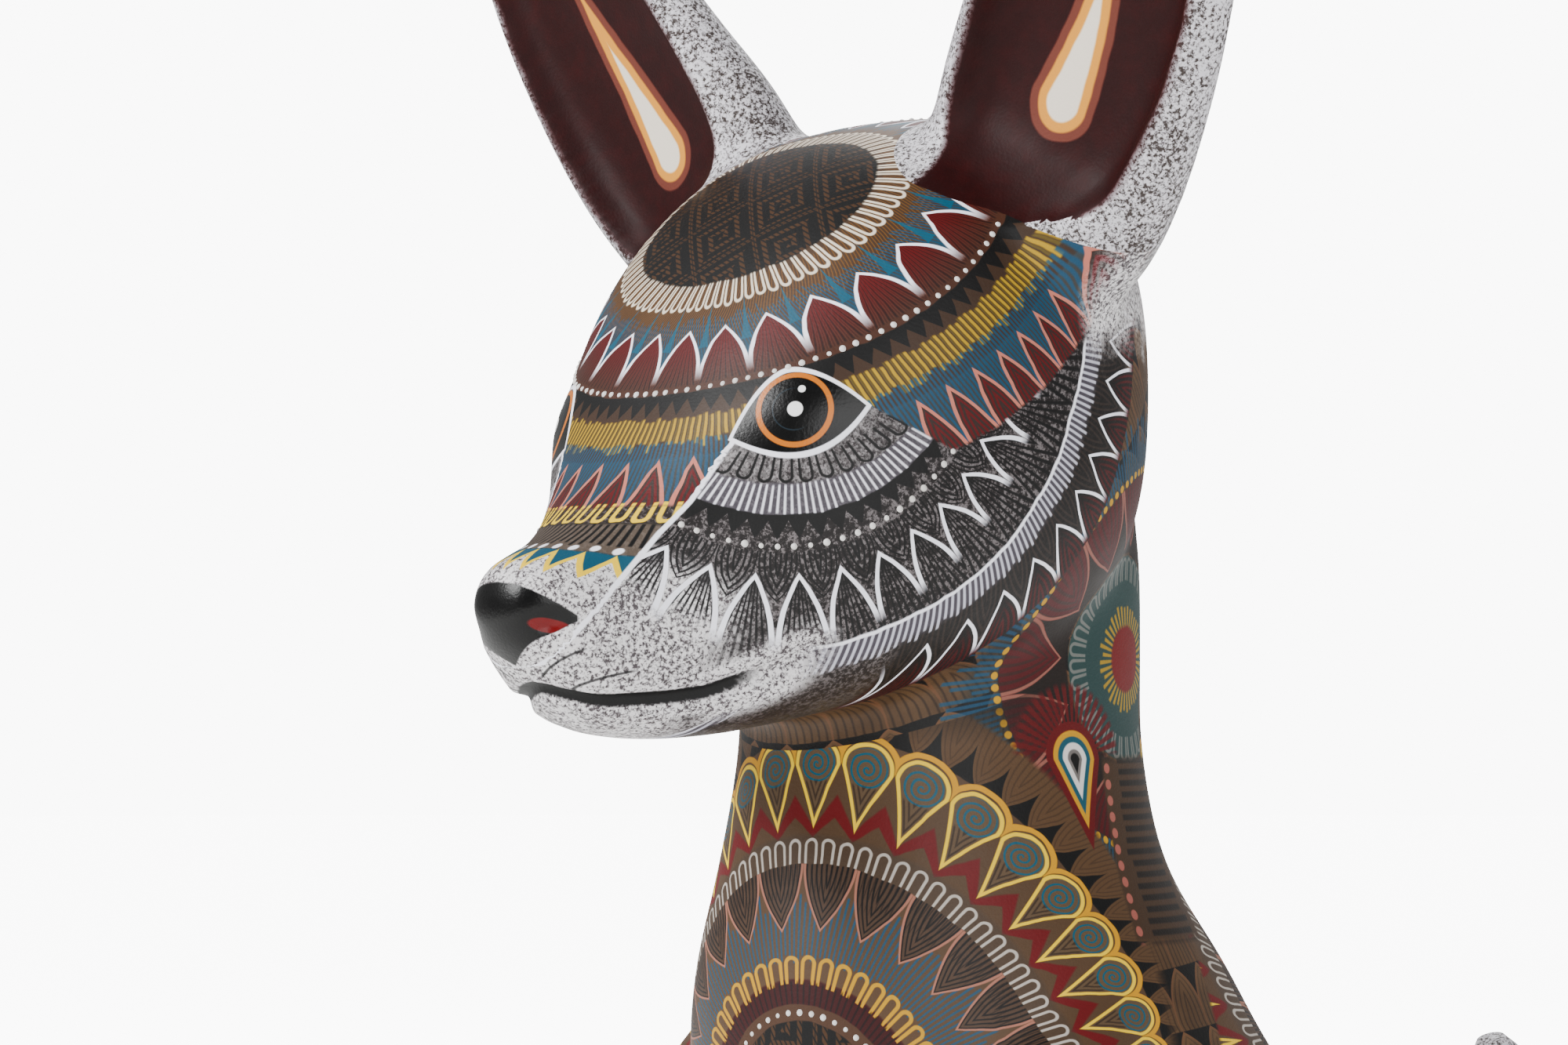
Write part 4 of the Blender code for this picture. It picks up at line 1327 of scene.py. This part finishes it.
GUIDES = {
    "head": ("crown", "eye", "brow", "cheek", "ear", "nape"),
    "torso": ("breast", "back", "nape", "cheek", "lap"),
    "front_leg_left": ("breast", "shin"), "front_leg_right": ("breast", "shin"),
    "hind_leg_left": ("haunch", "lap"), "hind_leg_right": ("haunch", "lap"),
    "ear_left": ("ear",), "ear_right": ("ear",),
}
BLOCKS = {}


def standing(name, mesh, material, body, node, slot="painted_wood"):
    """Places a mesh made about the neck's axis as a finished piece that stands for a node."""
    mesh.transform(Matrix.Translation((0, NECK_Y, 0)))
    if mesh.materials:
        mesh.materials.clear()
    mesh.materials.append(material)
    if node:
        mesh.materials.append(wood_material())
    piece = add_object(name, mesh)
    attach(piece, body)
    if node:
        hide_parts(node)


def smooth_faces(mesh):
    mesh.polygons.foreach_set("use_smooth", [True] * len(mesh.polygons))


def blocks():
    """The sawn blocks, carved once for every operator."""
    if not BLOCKS:
        settings = bpy.context.scene.fox_carving
        figure = carved_figure(settings.voxel, settings.sanding)
        sculpted_face(figure)
        hollowed_ears(figure)
        BLOCKS.update(sawn_blocks(figure))
        for name, mesh in BLOCKS.items():
            smooth_faces(mesh)
            put_guides(mesh, GUIDES[name])
    return BLOCKS


def level_path(mesh, values, level, turns, keep):
    """Points of the skin where a value crosses a level, in order round the ring."""
    a, b = edge_ends(mesh)
    crossing = (values[a] - level) * (values[b] - level) < 0
    a, b = a[crossing], b[crossing]
    share = ((level - values[a]) / (values[b] - values[a]))[:, None]
    points, normals = points_of(mesh), points_of(mesh, "normal")
    spots = points[a] * (1 - share) + points[b] * share - normals[a] * 0.00022
    wanted = keep(spots * MM)
    order = np.argsort(turns(spots * MM)[wanted])
    return spots[wanted][order]


def dots_tree():
    """Round dots of paint set evenly along a line."""
    tree = bpy.data.node_groups.new("paint_dots", "GeometryNodeTree")
    face = tree.interface
    for label, kind in (("Geometry", "Geometry"), ("Spacing", "Float"), ("Radius", "Float"),
                        ("Paint", "Material")):
        face.new_socket(label, in_out="INPUT", socket_type="NodeSocket" + kind)
    face.new_socket("Geometry", in_out="OUTPUT", socket_type="NodeSocketGeometry")
    made = {
        name: tree.nodes.new(kind) for name, kind in (
            ("start", "NodeGroupInput"), ("end", "NodeGroupOutput"),
            ("curve", "GeometryNodeMeshToCurve"), ("even", "GeometryNodeResampleCurve"),
            ("dot", "GeometryNodeMeshUVSphere"), ("place", "GeometryNodeInstanceOnPoints"),
            ("size", "FunctionNodeRandomValue"), ("real", "GeometryNodeRealizeInstances"),
            ("paint", "GeometryNodeSetMaterial"))
    }
    made["even"].mode = "LENGTH"
    made["dot"].inputs["Segments"].default_value = 10
    made["dot"].inputs["Rings"].default_value = 6
    size = made["size"]
    size.data_type = "FLOAT"
    size.inputs[2].default_value, size.inputs[3].default_value = 0.82, 1.12
    size.inputs["Seed"].default_value = 7
    for source, output, target, spot in (
        ("start", "Geometry", "curve", "Mesh"), ("curve", "Curve", "even", "Curve"),
        ("start", "Spacing", "even", "Length"), ("start", "Radius", "dot", "Radius"),
        ("even", "Curve", "place", "Points"), ("dot", "Mesh", "place", "Instance"),
        ("size", 1, "place", "Scale"), ("place", "Instances", "real", "Geometry"),
        ("real", "Geometry", "paint", "Geometry"), ("start", "Paint", "paint", "Material"),
        ("paint", "Geometry", "end", "Geometry"),
    ):
        tree.links.new(made[source].outputs[output], made[target].inputs[spot])
    return tree


def dotted(name, path, spacing, radius, material):
    """A row of raised dots of paint along a path on the skin."""
    shell = bmesh.new()
    corners = [shell.verts.new(point) for point in path]
    for first, second in zip(corners, corners[1:]):
        if (first.co - second.co).length < 0.006:
            shell.edges.new((first, second))
    mesh = bpy.data.meshes.new(name + "_line")
    shell.to_mesh(mesh)
    shell.free()
    line = add_object(name + "_line", mesh)
    tree = bpy.data.node_groups.get("paint_dots") or dots_tree()
    row = line.modifiers.new("dots", "NODES")
    row.node_group = tree
    sockets = {one.name: one.identifier for one in tree.interface.items_tree
               if one.in_out == "INPUT"}
    row[sockets["Spacing"]] = spacing
    row[sockets["Radius"]] = radius
    row[sockets["Paint"]] = material
    mesh = settled(line)
    smooth_faces(mesh)
    standing(name, mesh, material, "figure", None)


# ---------------------------------------------------------------------------------------------
# Settings, operators and panel
# ---------------------------------------------------------------------------------------------


class FoxCarving(bpy.types.PropertyGroup):
    voxel: FloatProperty(
        name="Facet size", description="How fine the carving is, before one subdivision",
        default=0.0015, min=0.001, max=0.005, subtype="DISTANCE", unit="LENGTH")
    sanding: IntProperty(
        name="Sanding", description="Passes of smoothing over the blended shapes",
        default=22, min=0, max=60)
    wobble: FloatProperty(
        name="Brush wobble", description="How far painted lines stray, in millimetres",
        default=0.6, min=0.0, max=3.0)


def paint(name, code, description):
    return FloatVectorProperty(
        name=name, description=description, default=of_eye(code), size=3, min=0.0, max=1.0,
        subtype="COLOR")


class FoxPaints(bpy.types.PropertyGroup):
    brown: paint("Brown", "6b5642", "Ground under the patterns")
    black: paint("Black", "141214", "Saw teeth, hatching and the frets' ground")
    maroon: paint("Maroon", "7a1220", "Petals round the crown and on the legs")
    teal: paint("Teal", "2a6c88", "Fine strokes between the rings")
    sea: paint("Sea blue", "13788e", "Spirals in the drops, and spikes")
    yellow: paint("Yellow", "ecd234", "Scallops, drops and the zigzag over the nose")
    ochre: paint("Ochre", "c8a62c", "Loops round the breast's middle")
    white: paint("White", "f4f4fa", "Edges of petals, and the strip along the jaw")
    cream: paint("Cream", "e2dacd", "Loops round the crown's patch")
    pink: paint("Pink", "cb9284", "Edges of the salmon petals")


class FoxStage(bpy.types.PropertyGroup):
    azimuth: FloatProperty(
        name="Azimuth", description="How far round from the front the camera stands",
        default=math.radians(45), subtype="ANGLE", unit="ROTATION")
    elevation: FloatProperty(
        name="Elevation", description="How far above its aim the camera stands",
        default=math.radians(-2.5), subtype="ANGLE", unit="ROTATION")
    distance: FloatProperty(
        name="Distance", description="From the camera to its aim",
        default=0.667, subtype="DISTANCE", unit="LENGTH")
    lens: FloatProperty(name="Lens", description="Focal length in millimetres", default=100.0)
    key: FloatProperty(
        name="Key light", description="Power of the large light in front",
        default=28.0, unit="POWER")


class FOX_OT_head(bpy.types.Operator):
    """Carve and paint the head"""

    bl_idname = "fox.head"
    bl_label = "Head"

    def execute(self, context):
        standing("carved_head", blocks()["head"], head_material(), "figure", "head")
        return {"FINISHED"}


class FOX_OT_torso(bpy.types.Operator):
    """Carve and paint the neck and body"""

    bl_idname = "fox.torso"
    bl_label = "Torso"

    def execute(self, context):
        standing("carved_torso", blocks()["torso"], body_material(), "figure", "torso")
        return {"FINISHED"}


class FOX_OT_legs(bpy.types.Operator):
    """Carve and paint the four legs"""

    bl_idname = "fox.legs"
    bl_label = "Legs"

    def execute(self, context):
        for part, material in (("front_leg", shin_material()), ("hind_leg", haunch_material())):
            for name in (part + "_left", part + "_right"):
                standing("carved_" + name, blocks()[name], material, "figure", name)
        return {"FINISHED"}


class FOX_OT_ears(bpy.types.Operator):
    """Carve and paint the two ears"""

    bl_idname = "fox.ears"
    bl_label = "Ears"

    def execute(self, context):
        material = ear_material()
        for name in ("ear_left", "ear_right"):
            standing("carved_" + name, blocks()[name], material, name, name, "ear_paint")
        return {"FINISHED"}


class FOX_OT_tail(bpy.types.Operator):
    """Carve and paint the tail"""

    bl_idname = "fox.tail"
    bl_label = "Tail"

    def execute(self, context):
        mesh = tail_mesh()
        smooth_faces(mesh)
        middles = np.array([(0.0, y, z) for y, z, _, _ in between(TAIL, 10)])
        points = points_of(mesh)
        _, along = path_distance(points, middles)
        length = np.linalg.norm(np.diff(middles, axis=0), axis=1).sum() * MM
        off = points - middles[(along * (len(middles) - 1)).round().astype(int)]
        turn = degrees(off[:, 0], off[:, 2] - off[:, 1])
        put_guide(mesh, "tail", (along * length, turn, 0.0), FULL_TURN)
        standing("carved_tail", mesh, tail_material(), "tail", "tail")
        return {"FINISHED"}


class FOX_OT_pegs(bpy.types.Operator):
    """Give the pegs and dowels their bare wood"""

    bl_idname = "fox.pegs"
    bl_label = "Pegs"

    def execute(self, context):
        material = wood_material()
        for name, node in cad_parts.items():
            if "peg" in name or "dowel" in name:
                for slot in node.material_slots:
                    slot.material = material
        return {"FINISHED"}


class FOX_OT_dots(bpy.types.Operator):
    """Set the raised dots of white paint round the crown, the eyes and the breast"""

    bl_idname = "fox.dots"
    bl_label = "Raised dots"

    def execute(self, context):
        material = dot_material()
        meshes = {}
        for name in ("head", "torso"):
            meshes[name] = blocks()[name].copy()
            meshes[name].transform(Matrix.Translation((0, -NECK_Y, 0)))
        head, torso = meshes["head"], meshes["torso"]
        folded = points_of(head) * MM
        folded[:, 0] = np.abs(folded[:, 0])
        rows = [
            ("crown_dots", 0.0020, 0.00052, level_path(
                head, scaled_distance(folded, CROWN_CENTRE, CROWN_SCALE), 49.9, crown_turn,
                lambda p: np.hypot(np.abs(p[:, 0]) - 33, p[:, 1] + 9) > 17)),
        ]
        for name, side in (("left_cheek_dots", 1), ("right_cheek_dots", -1)):
            def turn(p, side=side):
                return brow_turn(p * [side, 1, 1] - EYE)

            def keep(p, side=side):
                face = signed_line(p * [side, 1, 1], FACE_LINE)
                return (p[:, 0] * side > 8) & (face > 1.0) & (np.abs(turn(p, side) + 3) < 57)

            rows.append((name, 0.0022, 0.00052, level_path(
                head, scaled_distance(folded, BROW_CENTRE, BROW_SCALE), 53.4, turn, keep)))
        rows.append(("breast_dots", 0.0019, 0.0005, level_path(
            torso, breast_reach(points_of(torso) * MM), 16.3, breast_turn,
            lambda p: p[:, 1] < 0)))
        for name, spacing, radius, path in rows:
            dotted(name, path, spacing, radius, material)
        for mesh in meshes.values():
            bpy.data.meshes.remove(mesh)
        return {"FINISHED"}


class FOX_OT_stage(bpy.types.Operator):
    """Set out the pale floor, the soft lights and the camera"""

    bl_idname = "fox.stage"
    bl_label = "Stage"

    def execute(self, context):
        settings = context.scene.fox_stage
        shell = bmesh.new()
        bmesh.ops.create_circle(shell, cap_ends=True, segments=96, radius=6.0)
        mesh = bpy.data.meshes.new("floor")
        shell.to_mesh(mesh)
        shell.free()
        made = bpy.data.materials.new("pale_floor")
        made.use_nodes = True
        tree = made.node_tree
        tint = coats("f6f6f4", (noise(tree, 900.0) * 0.2, "efefec"))
        bright = add_node(tree, "LightPath", output="Is Camera Ray") * 9.0 + 0.5
        for label, value in (
            ("Base Color", tint), ("Roughness", 0.9), ("Specular IOR Level", SPECULAR),
            ("Emission Color", (1, 1, 1, 1)), ("Emission Strength", bright),
        ):
            plug(tree, value, tree.nodes["Principled BSDF"].inputs[label])
        mesh.materials.append(made)
        add_object("floor", mesh)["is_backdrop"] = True
        world = bpy.data.worlds.new("studio")
        world.use_nodes = True
        context.scene.world = world
        tree = world.node_tree
        air = tree.nodes["Background"]
        air.inputs["Color"].default_value = (1, 1, 1, 1)
        air.inputs["Strength"].default_value = 0.45
        mixed = add_node(tree, "MixShader", {
            0: add_node(tree, "LightPath", output="Is Camera Ray"),
            1: Field(tree, air.outputs[0]),
            2: add_node(tree, "Background", {"Strength": 12.0})})
        plug(tree, mixed, tree.nodes["World Output"].inputs["Surface"])
        aim = Vector((-0.017, -0.017 + NECK_Y, 0.185))
        a, e = settings.azimuth, settings.elevation
        back = Vector((math.sin(a) * math.cos(e), -math.cos(a) * math.cos(e), math.sin(e)))
        for name, away, size, power in (
            ("key_light", Vector((-0.35, -1.0, 0.75)), 0.7, settings.key),
            ("fill_light", Vector((1.1, -0.5, 0.35)), 0.9, settings.key * 0.35),
            ("rim_light", Vector((-0.5, 0.9, 0.9)), 0.8, settings.key * 0.5),
        ):
            lamp = bpy.data.lights.new(name, "AREA")
            lamp.shape, lamp.size, lamp.energy = "DISK", size, power
            light = add_object(name, lamp)
            light.location = aim + away
            light.rotation_euler = away.to_track_quat("Z", "Y").to_euler()
        lens = bpy.data.cameras.new("camera")
        lens.lens, lens.sensor_width = settings.lens, 36.0
        lens.clip_start, lens.clip_end = 0.01, 20.0
        camera = add_object("camera", lens)
        camera.location = aim + back * settings.distance
        camera.rotation_euler = back.to_track_quat("Z", "Y").to_euler()
        context.scene.camera = camera
        return {"FINISHED"}


OPERATORS = (FOX_OT_head, FOX_OT_torso, FOX_OT_legs, FOX_OT_ears, FOX_OT_tail, FOX_OT_dots,
             FOX_OT_pegs, FOX_OT_stage)


class FOX_PT_panel(bpy.types.Panel):
    """Lists the fox's pieces and settings"""

    bl_idname = "FOX_PT_panel"
    bl_label = "Carved fox"
    bl_space_type = "VIEW_3D"
    bl_region_type = "UI"
    bl_category = "Carved fox"

    def draw(self, context):
        scene = context.scene
        for settings in (scene.fox_carving, scene.fox_paints, scene.fox_stage):
            for name in settings.__annotations__:
                self.layout.prop(settings, name)
        for operator in OPERATORS:
            self.layout.operator(operator.bl_idname)


CLASSES = (FoxCarving, FoxPaints, FoxStage, *OPERATORS, FOX_PT_panel)


def register():
    for one in CLASSES:
        bpy.utils.register_class(one)
    bpy.types.Scene.fox_carving = PointerProperty(type=FoxCarving)
    bpy.types.Scene.fox_paints = PointerProperty(type=FoxPaints)
    bpy.types.Scene.fox_stage = PointerProperty(type=FoxStage)


def unregister():
    del bpy.types.Scene.fox_carving
    del bpy.types.Scene.fox_paints
    del bpy.types.Scene.fox_stage
    for one in reversed(CLASSES):
        bpy.utils.unregister_class(one)


def main():
    register()
    bpy.ops.fox.stage()
    bpy.ops.fox.head()
    bpy.ops.fox.torso()
    bpy.ops.fox.legs()
    bpy.ops.fox.ears()
    bpy.ops.fox.tail()
    bpy.ops.fox.dots()
    bpy.ops.fox.pegs()
    sizes = {
        "cad": [list(corner) for corner in CAD_BOX],
        "visual": [list(corner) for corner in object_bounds()],
    }


if __name__ == "__main__":
    main()
